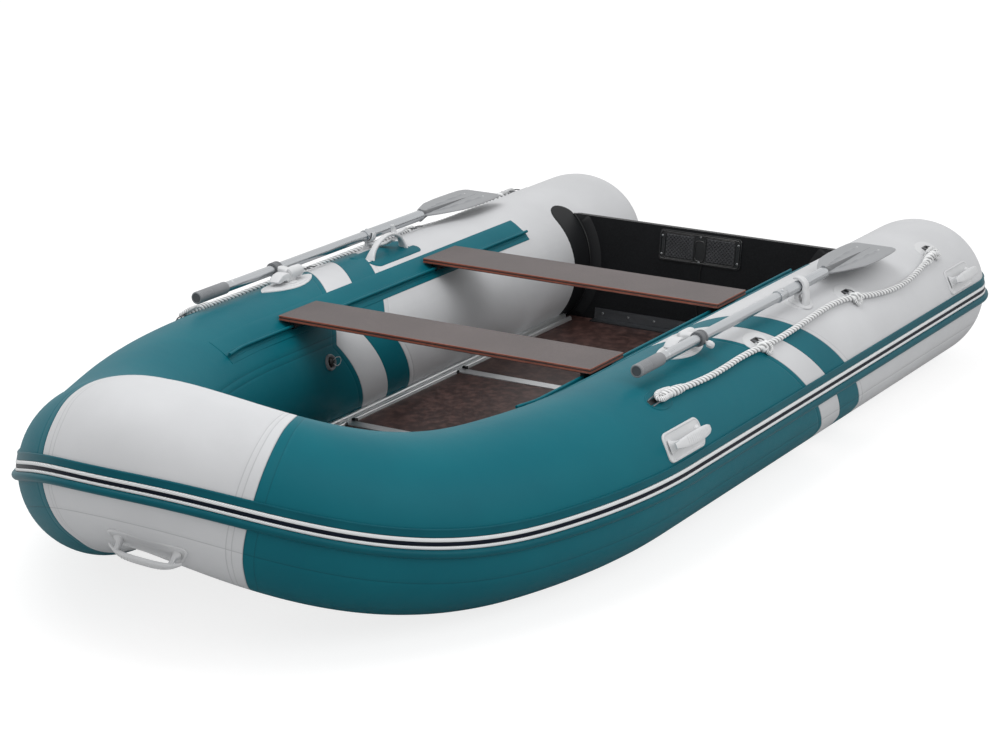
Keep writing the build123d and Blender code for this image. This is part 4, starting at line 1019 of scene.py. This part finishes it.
def blade(x):
    """A thin blade with a tapered spine and two ribs on each face; the spine is drawn dark grey, painted
    shade.
    """
    neck_x = x + NECK
    u = np.linspace(0, 1, BLADE_STEPS) ** 0.85
    spine = 0.0155 * np.clip(1 - u / 0.74, 0, 1) ** 0.8 + 0.0006
    half = np.interp(u, BLADE_ALONG, BLADE_WIDE)
    half[1:-1] = np.convolve(half, np.array([0.25, 0.5, 0.25]), "valid")
    shares = np.concatenate([np.linspace(0, 1, 5)[:-1], 1 + np.linspace(0, 1, 15)])
    inner = spine[:, None] * np.minimum(shares, 1)[None]
    y = inner + (half - spine)[:, None] * np.clip(shares - 1, 0, 1)[None]
    y = np.hstack([-y[:, :0:-1], y])
    rib_y = 0.30 * half + 0.012 * u
    rib = 0.0036 * np.exp(-(((np.abs(y) - rib_y[:, None]) / 0.0030) ** 2))
    rib *= (np.clip((u - 0.12) / 0.08, 0, 1) * np.clip((0.84 - u) / 0.05, 0, 1))[:, None]
    crown = 0.0065 * np.clip(1 - (np.abs(y) / (spine[:, None] + 0.002)) ** 2, 0, 1)
    crown *= (np.clip(1 - u / 0.74, 0, 1) ** 0.5)[:, None]
    edge = 1 - np.clip((np.abs(y) / half[:, None] - 0.93) / 0.07, 0, 1) ** 2 * 0.55
    neck = 0.0125 * np.clip(1 - u / 0.10, 0, 1)[:, None] ** 1.3 * np.clip(1 - (y / 0.017) ** 2, 0, 1)
    height = 0.0022 * edge + rib + crown + neck
    along = np.broadcast_to((neck_x - BLADE_L * u)[:, None], y.shape)
    top, low = (np.stack([along, SHAFT_Y + y, SHAFT_Z + face * height], -1) for face in (1, -1))
    made = loft(np.concatenate([top, low[:, ::-1]], axis=1))
    across, columns = y.shape[1], 2 * y.shape[1]
    # Faces along the spine, short of its end, take the dark grey: painted shade on the spine.
    zones = []
    for face in made.faces:
        row, column = divmod(face[0], columns)
        if column >= across:
            column = columns - 2 - column
        in_spine = abs(column - across // 2 + 0.5) < 4 and len(face) == 4
        zones.append(1 if in_spine and row < BLADE_STEPS * 0.86 else 0)
    shapes = [made._replace(zones=zones)]
    for side in (-1, 1):
        for face in (-1, 1):
            aside, off = side * (0.30 * 0.082 + 0.0105), face * 0.0018
            spot = (neck_x - BLADE_L * DOT_AT, SHAFT_Y + aside, SHAFT_Z + off)
            dot = lathed([(0.0030, 0), (0.0030, 0.0006), (0.002, 0.0014)], 16)
            shapes.append(zoned(moved(dot, placed(spot, FORE, (0, 0, face))), 2))
    return shapes


def knob(x):
    """A faceted knob on a bolt through the oar's clamp."""
    shape = lathed([(r * MM, h * MM) for r, h in KNOB], 8)
    down = math.radians(KNOB_DROP)
    return moved(shape, placed((x, SHAFT_Y, SHAFT_Z), FORE, (0, math.cos(down), -math.sin(down))))


def pillow(profile, middle, half):
    """A flat outline, (x, z) pairs, given width along y and rounded sides."""
    rings = []
    for y, share in [(-y, share) for y, share in ROUNDED[::-1]] + ROUNDED:
        flat = middle + (profile - middle) * share
        rings.append(np.column_stack([flat[:, 0], np.full(len(flat), y * half), flat[:, 1]]))
    return loft(rings)


def oarlock_head(x):
    """A jaw, open beneath at its fore end, a barrel aft of it, and the arm to the clamp."""
    jaw = pillow(np.array(JAW) * MM, np.array((0.022, 0.010)), 0.0185)
    barrel = lathed([(r * MM, along * MM) for along, r in BARREL])
    barrel = moved(barrel, lambda p: np.column_stack([p[:, 2], p[:, 0], 0.0186 + p[:, 1]]))
    tie = stacked(box_outline, (0.046, 0.026, 0.004), [(0, 0), (0, 0.014), (0.004, 0.018)])
    tie = shifted(tie, -0.008, 0, 0.0004)
    at, near, far = x - CLAMP_BACK, PIVOT_Y + 0.018, SHAFT_Y - 0.018
    arm = curve([(at, PIVOT_Y, SHAFT_Z - 0.003), (at, near, SHAFT_Z), (at, far, SHAFT_Z)], 8)
    shapes = [shifted(shape, x, PIVOT_Y, HEAD_LOW) for shape in (jaw, barrel, tie)]
    return shapes + [strap(arm, FORE, [0.030, 0.030, 0.028], [0.024, 0.024, 0.025])]


def round_shaft(x, start, end, reach, steps):
    """Points round the stowed shaft, from one turn to another in degrees."""
    turn = np.radians(np.linspace(start, end, steps))
    y, z = SHAFT_Y + reach * np.cos(turn), SHAFT_Z + reach * np.sin(turn)
    return np.column_stack([0 * turn + x, y, z])


def hook_rest(x):
    """A hook over the stowed shaft, with its saddle and its foot, and the patch beneath."""
    rise = [(x, SHAFT_Y + 0.027, 0.4290), (x, SHAFT_Y + 0.0275, 0.4500), (x, SHAFT_Y + 0.0270, 0.4700)]
    path = np.vstack([curve(rise, 10)[:-1], round_shaft(x, -14, 122, 0.0252, 26)])
    wide = [0.044, 0.033, 0.028, 0.026, 0.024, 0.020, 0.012]
    hook = strap(path, FORE, wide, [0.018, 0.016, 0.015, 0.0145, 0.0135, 0.011, 0.005])
    saddle = round_shaft(x, -28, -142, 0.0212, 16)
    saddle = strap(saddle, FORE, [0.026, 0.026, 0.018], [0.008, 0.008, 0.005])
    foot = [(0, 0.0022), (0, 0.0042), (0.002, 0.0058), (0.016, 0.0072)]
    flange = stacked(oval_outline, (0.043, 0.036), foot, fill=0.033)
    pad = stacked(oval_outline, (0.062, 0.042), REST_PAD, fill=0.038)
    turn = tube_turn(SHAFT_Y)
    flange = moved(flange, on_tube(at_x(x), turn + 2.8))
    return [hook, saddle, rest_post(x), flange], moved(pad, on_tube(at_x(x), turn))


def rest_post(x):
    """The post under the stowed shaft."""
    post = [(x, SHAFT_Y, SHAFT_Z - 0.024), (x, SHAFT_Y + 0.001, 0.452), (x, SHAFT_Y + 0.003, 0.4375)]
    return strap(curve(post, 8), FORE, [0.026, 0.026, 0.040], [0.016, 0.016, 0.030])


ARCH_IN, ARCH_PAD_IN = 0.033, 0.023  # inboard of the tube's middle
ARCH_Y = TUBE_Y - ARCH_IN
ARCH_GROUND = TUBE_Z + math.sqrt(TUBE_R**2 - ARCH_IN**2) - 0.002
# The arch: (metres along it, millimetres up).
ARCH = [
    (0.142, 0), (0.133, 16), (0.106, 41), (0.062, 57.5), (0.016, 57.5), (-0.020, 42), (-0.040, 18),
    (-0.048, 0),
]


def arch_rest(x):
    """A fork under the stowed shaft, on an arch with two horns, and the patch beneath."""
    arch = curve([(x + along, ARCH_Y, ARCH_GROUND + up * MM) for along, up in ARCH], 44)
    wide = [0.032, 0.020, 0.018, 0.018, 0.018, 0.020, 0.032]
    band = strap(arch, PORT, wide, [0.013, 0.009, 0.009, 0.013])
    wide = [0.012, 0.022, 0.026, 0.026, 0.026, 0.022, 0.012]
    fork = strap(round_shaft(x, 28, -208, 0.0212, 30), FORE, wide, [0.004, 0.0065, 0.0065, 0.004])
    link = [
        (x, ARCH_Y, ARCH_GROUND + 0.040),
        (x, ARCH_Y + 0.04, SHAFT_Z - 0.022),
        (x, SHAFT_Y - 0.006, SHAFT_Z - 0.0255),
    ]
    link = strap(curve(link, 12), FORE, [0.030, 0.025, 0.026], [0.010, 0.008, 0.009])
    horns = []
    for line, wide, thick in (
        ([(0.004, 0, 0.050), (0.003, 0.004, 0.066), (0.008, 0.006, 0.083)],
         [0.018, 0.017, 0.012], [0.014, 0.011, 0.006]),
        ([(0.006, 0, 0.054), (-0.030, 0.002, 0.056), (-0.062, 0.002, 0.061)],
         [0.018, 0.018, 0.012], [0.010, 0.008, 0.005]),
    ):
        line = curve(np.array(line) + (x, ARCH_Y, ARCH_GROUND), 10)
        horns.append(strap(line, PORT, wide, thick))
    pad = stacked(box_outline, (0.260, 0.116, 0.024), REST_PAD, fill=0.056)
    turn = -math.degrees(math.asin(ARCH_PAD_IN / TUBE_R))
    return [band, fork, link, rest_post(x), *horns], moved(pad, on_tube(at_x(x + 0.040), turn))


def oar(side):
    """An oar with its lock and its rest: the lock's base and the rest stay on the hull."""

    def fit(name, shapes, material, cad="", body=f"oar_{side}", bevel=0.0):
        replaces = [f"{cad}_{side}"] if cad else ()
        shapes = on_side(side, shapes)
        piece(f"{name}_{side}", shapes, material, body, bevel, replaces=replaces)

    x = OARLOCK_X
    rim = [(0, 0.0003), (0, 0.0024), (0.0016, 0.0040), (0.009, 0.0046), (0.0105, 0.0062), (0.016, 0.0068)]
    base = stacked(leaf_outline, (0.250, 0.095), rim, fill=0.042)
    base = moved(base, on_tube(at_x(x), tube_turn(PIVOT_Y)))
    boss = [(0.040, 0.443), (0.038, 0.449), (0.032, 0.453), (0.030, 0.4565), (0.030, 0.4594), (0.028, 0.460)]
    boss = shifted(lathed(boss), x, PIVOT_Y, 0)
    fit("oarlock_seat", [base, boss], white_nylon, "oarlock_base", "root")
    fit("oarlock_block", oarlock_head(x), white_nylon, "oarlock_head", bevel=0.0045)
    at = x - CLAMP_BACK
    lip = [(0.015, 0.0151), (0.015, 0.0195), (0.0135, 0.0212), (0.006, 0.0215), (0.0055, 0.0203)]
    clamp = [(at - back, r) for back, r in lip] + [(at + on, r) for on, r in lip[::-1]]
    fit("clamp_ring", [along_x(clamp, OPEN)], mid_grey, "oar_clamp")
    fit("clamp_knob", [knob(at)], white_nylon, bevel=0.0008)

    x += OAR_SLIDE[side]
    low, high = x + GRIP_FROM, x + GRIP_TO
    shaft = [(x + STEP, 0.0140), (x + STEP, SHAFT_R), (low - 0.030, SHAFT_R), (low - 0.0295, 0.0146)]
    shaft += [(low - 0.0285, 0.0146), (low - 0.028, SHAFT_R), (high - 0.012, SHAFT_R)]
    fit("shaft_tube", [along_x(shaft)], oar_aluminium, "oar_shaft")

    top = x + STEP + 0.040
    collar = [
        (0, 0.0152), (0, 0.0172), (0.001, 0.0178), (0.008, 0.0178), (0.009, SLEEVE_R),
        (0.044, SLEEVE_R), (0.045, 0.0166), (0.0465, 0.0166), (0.0475, SLEEVE_R),
    ]
    rear = [(top - back, r) for back, r in collar] + [(x + NECK, SLEEVE_R), (x + NECK, 0.0140)]
    button = lathed([(0.0040, 0.0155), (0.0040, 0.0182), (0.0030, 0.0192)], 16)
    button = moved(button, placed((top - 0.024, SHAFT_Y, SHAFT_Z), FORE, (0, 0.4, 1)))
    fit("sleeve_tube", [along_x(rear), button], oar_aluminium, "oar_sleeve")

    profile = [(low, 0.0153), (low, 0.0168), (low + 0.0015, 0.0176), (low + 0.005, GRIP_R)]
    for ridge in np.linspace(high - 0.060, high - 0.012, 9):
        profile += [(ridge - 0.0016, GRIP_R), (ridge - 0.0006, 0.0173)]
        profile += [(ridge + 0.0006, 0.0173), (ridge + 0.0016, GRIP_R)]
    profile += [(high - 0.003, GRIP_R), (high - 0.0008, 0.0172)]
    profile += [(high, 0.0160), (high, 0.0138), (high - 0.0010, 0.0134)]
    plug = along_x([(high - 0.005, 0.0134), (high - 0.0012, 0.0134), (high - 0.0012, 0.004)])
    grip = [along_x(profile, OPEN), zoned(plug, 1)]
    fit("grip", grip, [grey_nylon, dark_grey], "oar_grip")

    past = [(0.012, 0.0150), (0.002, 0.0158), (-0.004, 0.0160), (-0.020, 0.0128), (-0.045, 0.0068)]
    socket = zoned(along_x([(x + NECK + on, r) for on, r in past]), 1)
    # On the blade the dark grey is painted shade on the spine; on the socket it is the socket's colour.
    greys = [blade_grey, dark_grey, white_nylon]
    fit("blade", blade(x) + [socket], greys, "oar_blade")

    if side == "port":
        (hold, pad), pad_fabric = hook_rest(REST_X[side]), patch_grey
    else:
        (hold, pad), pad_fabric = arch_rest(REST_X[side]), patch_teal
    fit("shaft_rest", hold, white_nylon, "oar_rest", "root", 0.0008)
    fit("rest_pad", [pad], pad_fabric, body="root")


for _, side in SIDES:
    oar(side)

# ------------------------------------------------------------------ seats and tracks
PLIES = 6


def seat(name):
    """A plank of film-faced plywood, its edges cut square and broken at the film."""
    low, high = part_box(name)
    middle = (low + high) / 2
    size = high - low
    levels = [(0.0012, 0.0), (0.0003, 0.0009)]
    for ply in np.linspace(0.0022, size.z - 0.0022, PLIES):
        levels += [(0.0003, ply - 0.0005), (0.0007, ply), (0.0003, ply + 0.0005)]
    levels += [(0.0003, size.z - 0.0022), (0.0003, size.z - 0.0012), (0.0014, size.z)]
    plank = stacked(box_outline, (size.x, size.y, 0.004), levels)
    plank = shifted(plank, middle.x, middle.y, low.z)
    sides = len(plank.faces) - 2
    around = sides // (len(levels) - 1)
    zones = [2 if i >= sides - 2 * around else 1 for i in range(sides)] + [0, 0]
    plank = plank._replace(zones=zones)
    piece(f"{name}_plank", [plank], [seat_film, seat_edge, seat_arris], name, replaces=[name])


for name in ("seat_front", "seat_rear"):
    seat(name)

TRACK_TURN, TRACK_AFT, TRACK_FORE = -42.0, -0.995, 0.690
BEAD_Y, BEAD_Z, BEAD_R, WEB_HALF = 0.4657, 0.4019, 0.0045, 0.0012
# The two layers' sections: (millimetres round the tube, millimetres off it).
TRACK_LAYERS = (
    [
        (-66, 0.6), (-65.4, 2.2), (-63, 2.8), (-49, 2.8), (-35, 2.8), (-21, 2.8), (-7, 2.8), (8, 2.8),
        (22, 2.8), (24.4, 2.2), (25, 0.6),
    ],
    [(-14, 2.6), (-13.4, 3.6), (-12, 4.0), (-2, 4.2), (8, 4.2), (10, 3.8), (10.6, 2.6)],
)


def seat_track():
    """A two-layer strip bonded to the tube, with a round bead on a web for the seats to slide on."""
    aft_half = np.linspace(at_x(TRACK_AFT), at_x(0.45), 40)
    s = np.concatenate([aft_half, np.linspace(at_x(0.47), at_x(TRACK_FORE), 26)])
    # Where the tube bends the layers are thinner, so that the front seat's runners clear them.
    feathered = 1 - 0.4 * np.clip((s + STERN_X - 0.44) / 0.08, 0, 1)
    layers = []
    for section in TRACK_LAYERS:
        round_tube = [TRACK_TURN - around / (TUBE_R / MM) / math.pi * 180 for around, _ in section]
        lines = [on_skin(s, at, off * MM * feathered) for at, (_, off) in zip(round_tube, section)]
        layers.append(loft(np.stack(lines, 1)))
    # The web and its bead stay on the straight tube's line until the bend is well under way.
    centre, foot = on_skin(s, TRACK_TURN, 0.013), on_skin(s, TRACK_TURN, 0.003)
    blend = np.clip((centre[:, 0] - 0.56) / 0.10, 0, 1)[:, None]
    blend = blend * blend * (3 - 2 * blend)

    def held(line, y, z):
        straight = np.column_stack([line[:, 0], np.full(len(s), y), np.full(len(s), z)])
        return straight + (line - straight) * blend

    centre = held(centre, BEAD_Y, BEAD_Z)
    foot = held(foot, *beside_straight(math.radians(TRACK_TURN), TUBE_R + 0.003))
    over = unit(centre - foot)
    aside = np.cross(ways_along(centre), over) * WEB_HALF
    web = loft(np.stack([foot + aside, centre + aside, centre - aside, foot - aside], 1))
    turn = np.linspace(0, 2 * math.pi, 16, endpoint=False)
    ring = [centre + (over * math.cos(t) + aside / WEB_HALF * math.sin(t)) * BEAD_R for t in turn]
    return layers + [web, loft(np.stack(ring, 1))]


piece("seat_track_strips", both(seat_track()), teal_fabric, sharp=30,
      replaces=["seat_tracks"])

# ------------------------------------------------------------------ transom fittings
TRANSOM_RAKE = math.radians(7.2)
TRANSOM_TOP_X, TRANSOM_TOP_Z, TRANSOM_T = -1.329, 0.394, 0.035
RAKE_SIN, RAKE_COS = math.sin(TRANSOM_RAKE), math.cos(TRANSOM_RAKE)
BOARD_OUT, BOARD_UP = np.array([RAKE_COS, 0, RAKE_SIN]), np.array([-RAKE_SIN, 0, RAKE_COS])
FLAP_MIDDLE_X, FLAP_FORE_X, FLAP_TOP_TURN = -1.268, -1.203, -42.0
# The band on the board: (reach from the tube's axis, lift off the board).
BAND_LINES = ((0.2262, 0.0008), (0.2270, 0.0024), (0.2660, 0.0024), (0.2680, 0.0008))


def face_x(z):
    """Where the board's inner face is at that height."""
    return TRANSOM_TOP_X + (TRANSOM_TOP_Z - z) * math.tan(TRANSOM_RAKE)


def transom_collar():
    """Black fabric that bonds the board to the tube: a rounded flap on the tube, a band on the
    board and a welt in the corner."""
    turns = np.concatenate([np.linspace(-28.2, -42, 14), np.linspace(-44, -136, 47)])
    rings, corner = [], []
    for turn in turns:
        z = float(on_skin(0.3, turn)[2])
        aft, fore = face_x(z) + 0.001, FLAP_FORE_X
        if turn > FLAP_TOP_TURN:
            reach = math.sqrt(max(0.0, 1 - ((turn - FLAP_TOP_TURN) / 14) ** 2))
            aft, fore = FLAP_MIDDLE_X - 0.062 * reach, FLAP_MIDDLE_X + 0.065 * reach
        across = np.linspace(aft, fore, 14)
        up = np.full(14, 0.0018)
        up[0] = up[-1] = 0.0004
        rings.append(on_skin(at_x(across), turn, up))
        if turn <= FLAP_TOP_TURN:
            corner.append(on_skin(at_x(aft), turn, 0.0035) + (0.003, 0, 0))
    down = np.radians(np.linspace(-43, -134, 47))
    bands = []
    for reach, off in BAND_LINES:
        y, z = beside_straight(down, reach)
        z = np.maximum(z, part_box("floor_board_aft")[1].z + 0.004)
        line = np.column_stack([face_x(z), y, np.minimum(z, TRANSOM_TOP_Z - 0.002)])
        bands.append(line + BOARD_OUT * off)
    return [sheet(rings), sheet(np.stack(bands, 1))], wire(np.array(corner), 0.0032)


flaps, welt = transom_collar()
piece("transom_flaps", both(flaps), black_fabric, sharp=60,
      replaces=["transom_collars"])
piece("transom_welts", both([welt]), black_abs)

PLATE_W, PLATE_H, PLATE_DROP, PLATE_OFF = 0.295, 0.102, 0.009, 0.0003
PLATE_MIDDLE = PLATE_DROP + PLATE_H / 2
PLATE_Z = TRANSOM_TOP_Z - PLATE_MIDDLE * RAKE_COS
PLATE_PLACE = np.array([face_x(PLATE_Z), 0, PLATE_Z]) + BOARD_OUT * PLATE_OFF
PAD_L, PAD_H, PAD_ASIDE = 0.0495, 0.0385, 0.0735  # half sizes, and how far from the middle
HATCH = 0.0125


def on_plate(points):
    """x to port, y up the board, z off it."""
    points = np.asarray(points)
    return PLATE_PLACE + points[:, :1] * PORT + points[:, 1:2] * BOARD_UP + points[:, 2:] * BOARD_OUT


def framed(line, radius):
    """A thin raised rim along a closed line on the plate."""
    return wire(line, radius, 8, UP)


def motor_plate():
    """A framed plate: a rim, two ribbed pads and a notch between them."""
    levels = [(0, 0), (0, 0.0030), (0.0010, 0.0040), (0.004, 0.0040)]
    base = stacked(box_outline, (PLATE_W, PLATE_H, 0.012), levels)
    rim = [(x, y, 0.0052) for x, y in box_outline(PLATE_W - 0.012, PLATE_H - 0.012, 0.010, steps=8)]
    shapes, pads = [base, framed(rim + rim[:2], 0.0022)], []
    across, upward = np.linspace(-PAD_L, PAD_L, 110), np.linspace(-PAD_H, PAD_H, 86)
    x, y = np.meshgrid(across, upward, indexing="ij")
    one, other = ((x + way * y) * 2 * math.pi / HATCH for way in (1, -1))
    hatch = np.maximum(np.cos(one), np.cos(other))
    edge = np.minimum(1, np.minimum(PAD_L - np.abs(x), PAD_H - np.abs(y)) / 0.003)
    high = 0.0040 + edge * (0.0006 + 0.0030 * np.clip((hatch - 0.45) / 0.4, 0, 1))
    for side in (-1, 1):
        pads.append(sheet(np.stack([x + side * PAD_ASIDE, y, high], -1)))
        rim = [(a + side * PAD_ASIDE, b, 0.0046) for a, b in box_outline(0.105, 0.083, 0.008)]
        shapes.append(framed(rim + rim[:2], 0.0016))
    notch = [(-0.016, 0.020), (-0.016, -0.030), (-0.010, -0.037), (0.010, -0.037), (0.016, -0.030)]
    notch += [(0.016, 0.020), (0.010, 0.026), (-0.010, 0.026), (-0.016, 0.020)]
    shapes.append(framed(curve([(x, y, 0.0044) for x, y in notch], 60), 0.0020))
    return shapes, pads


shapes, pads = motor_plate()
piece("motor_plate_frame", [moved(s, on_plate) for s in shapes], gloss_black,
      replaces=["motor_plate_inner"])
piece("motor_plate_pads", [moved(s, on_plate) for s in pads], pad_grey)

OUTER_OFF = BOARD_OUT * -(TRANSOM_T + 0.0053)
bracket_low, bracket_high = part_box("floor_bracket")
bracket_z = bracket_high.z - 0.016
inner = [(-0.137, 0.030), (-0.137, -0.030), (0.0, 0.041), (0.0, -0.043), (0.137, 0.030), (0.137, -0.030)]
inner = [placed(on_plate([(x, y, 0.0040)])[0], PORT, BOARD_OUT) for x, y in inner]
outer = [(x, y, 0) for x in (-0.135, 0, 0.135) for y in (0.035, -0.125)]
outer = [placed(on_plate([spot])[0] + OUTER_OFF, PORT, -BOARD_OUT) for spot in outer]
bracket = [
    placed((face_x(bracket_z) + 0.0043, y, bracket_z), PORT, BOARD_OUT)
    for y in np.linspace(bracket_low.y + 0.030, bracket_high.y - 0.030, 8)
]
screws("motor_plate_screws", inner)
screws("outer_plate_screws", outer)
screws("bracket_screws", bracket)

cord_run = [
    (0.004, -0.037, 0.006), (0.010, -0.050, 0.005), (0.006, -0.080, 0.004), (0.010, -0.130, 0.0035),
    (0.004, -0.190, 0.0035), (0.012, -0.240, 0.0035), (0.002, -0.272, 0.0035),
]
cord = moved(wire(curve(cord_run, 50), 0.0016, 8), on_plate)
piece("plate_cord", [cord], cord_black)

# ------------------------------------------------------------------ floor fittings
CROSS_X, STRINGER_Y = (0.104, -0.526, -0.926), 0.4308
floor_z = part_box("floor_board_aft")[1].z
# Black blocks where the stringers break beside each cross profile: painted shade in the gaps.
gap_shades, hoops = [], []
for x in CROSS_X:
    for end in (-1, 1):
        block = stacked(box_outline, (0.014, 0.016, 0.002), [(0, 0), (0, 0.007), (0.002, 0.010)])
        gap_shades.append(shifted(block, x + end * 0.0268, STRINGER_Y, floor_z + 0.0004))
    hoop = [(-0.010, 0.004), (-0.007, 0.014), (0.007, 0.014), (0.010, 0.004)]
    hoop = curve([(x + along, STRINGER_Y + 0.004, floor_z + up) for along, up in hoop], 16)
    hoops.append(wire(hoop, 0.0016, 8))
piece("stringer_gap_shades", both(gap_shades), black_abs)
piece("stringer_hoops", both(hoops), white_nylon)

# CAD nodes whose shape stays get their real finish.
for material, names in (
    (transom_film, ["transom"]),
    (black_abs, ["motor_plate_outer", "seat_front_runners", "seat_rear_runners"]),
    (black_anodised, ["floor_bracket"]),
    (floor_film, [f"floor_board_{place}" for place in ("bow", "fore", "middle", "aft")]),
    (cross_aluminium, ["cross_profiles"]),
    (floor_aluminium, ["stringers"]),
):
    for name in names:
        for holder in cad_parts[name].material_slots:
            holder.material = material

# ------------------------------------------------------------------ floor and light
GROUND, GROUND_FAR = -0.0015, 40.0
LIGHT_AIM = (0, 0, 0.3)
LAMPS = (
    ("overhead", (1.3, -0.5, 4.4), 3.6, 94.0),
    ("port_side", (0.4, 4.4, 3.2), 3.5, 52.0),
)


def make_ground():
    """Paper under the boat. It glows for the camera alone, so that it stays white there."""
    corners = [(x, y, GROUND) for x, y in ((-1, -1), (1, -1), (1, 1), (-1, 1))]
    mesh = bpy.data.meshes.new("ground")
    mesh.from_pydata([(x * GROUND_FAR, y * GROUND_FAR, z) for x, y, z in corners], [], [(0, 1, 2, 3)])
    material = bpy.data.materials.new("studio_floor")
    material.use_nodes = True
    tree = material.node_tree
    tree.nodes.remove(tree.nodes["Principled BSDF"])
    seen = node(tree, "LightPath").outputs["Is Camera Ray"]
    tone = node(tree, "MapRange", {"Value": seen, "To Min": 0.62, "To Max": 0.3}).outputs[0]
    paper = node(tree, "BsdfDiffuse", {"Color": tone}).outputs[0]
    lift = node(tree, "Math", {0: seen, 1: 0.8}, operation="MULTIPLY").outputs[0]
    glow = node(tree, "Emission", {"Strength": lift}).outputs[0]
    shown = node(tree, "AddShader", {0: paper, 1: glow}).outputs[0]
    tree.links.new(shown, tree.nodes["Material Output"].inputs["Surface"])
    mesh.materials.append(material)
    linked("ground", mesh)


def make_light():
    """Soft light from all round, a wide lamp overhead and one to port."""
    world = bpy.data.worlds.new("studio")
    bpy.context.scene.world = world
    world.use_nodes = True
    tree = world.node_tree
    background = tree.nodes["Background"]
    background.inputs["Color"].default_value = (1, 1, 1, 1)
    rays = node(tree, "LightPath").outputs
    kinds = {0: rays["Is Camera Ray"], 1: rays["Is Glossy Ray"]}
    seen = node(tree, "Math", kinds, operation="MAXIMUM").outputs[0]
    strength = node(tree, "MapRange", {"Value": seen, "To Min": 0.74, "To Max": 1.0}).outputs[0]
    tree.links.new(strength, background.inputs["Strength"])
    for name, place, size, power in LAMPS:
        lamp = bpy.data.lights.new(name, "AREA")
        lamp.shape = "DISK"
        lamp.size = size
        lamp.energy = power
        aim = (Vector(LIGHT_AIM) - Vector(place)).to_track_quat("-Z", "Y").to_matrix().to_4x4()
        linked(name, lamp).matrix_world = Matrix.Translation(place) @ aim


make_camera()
make_ground()
make_light()
bpy.context.scene.view_settings.view_transform = "Standard"
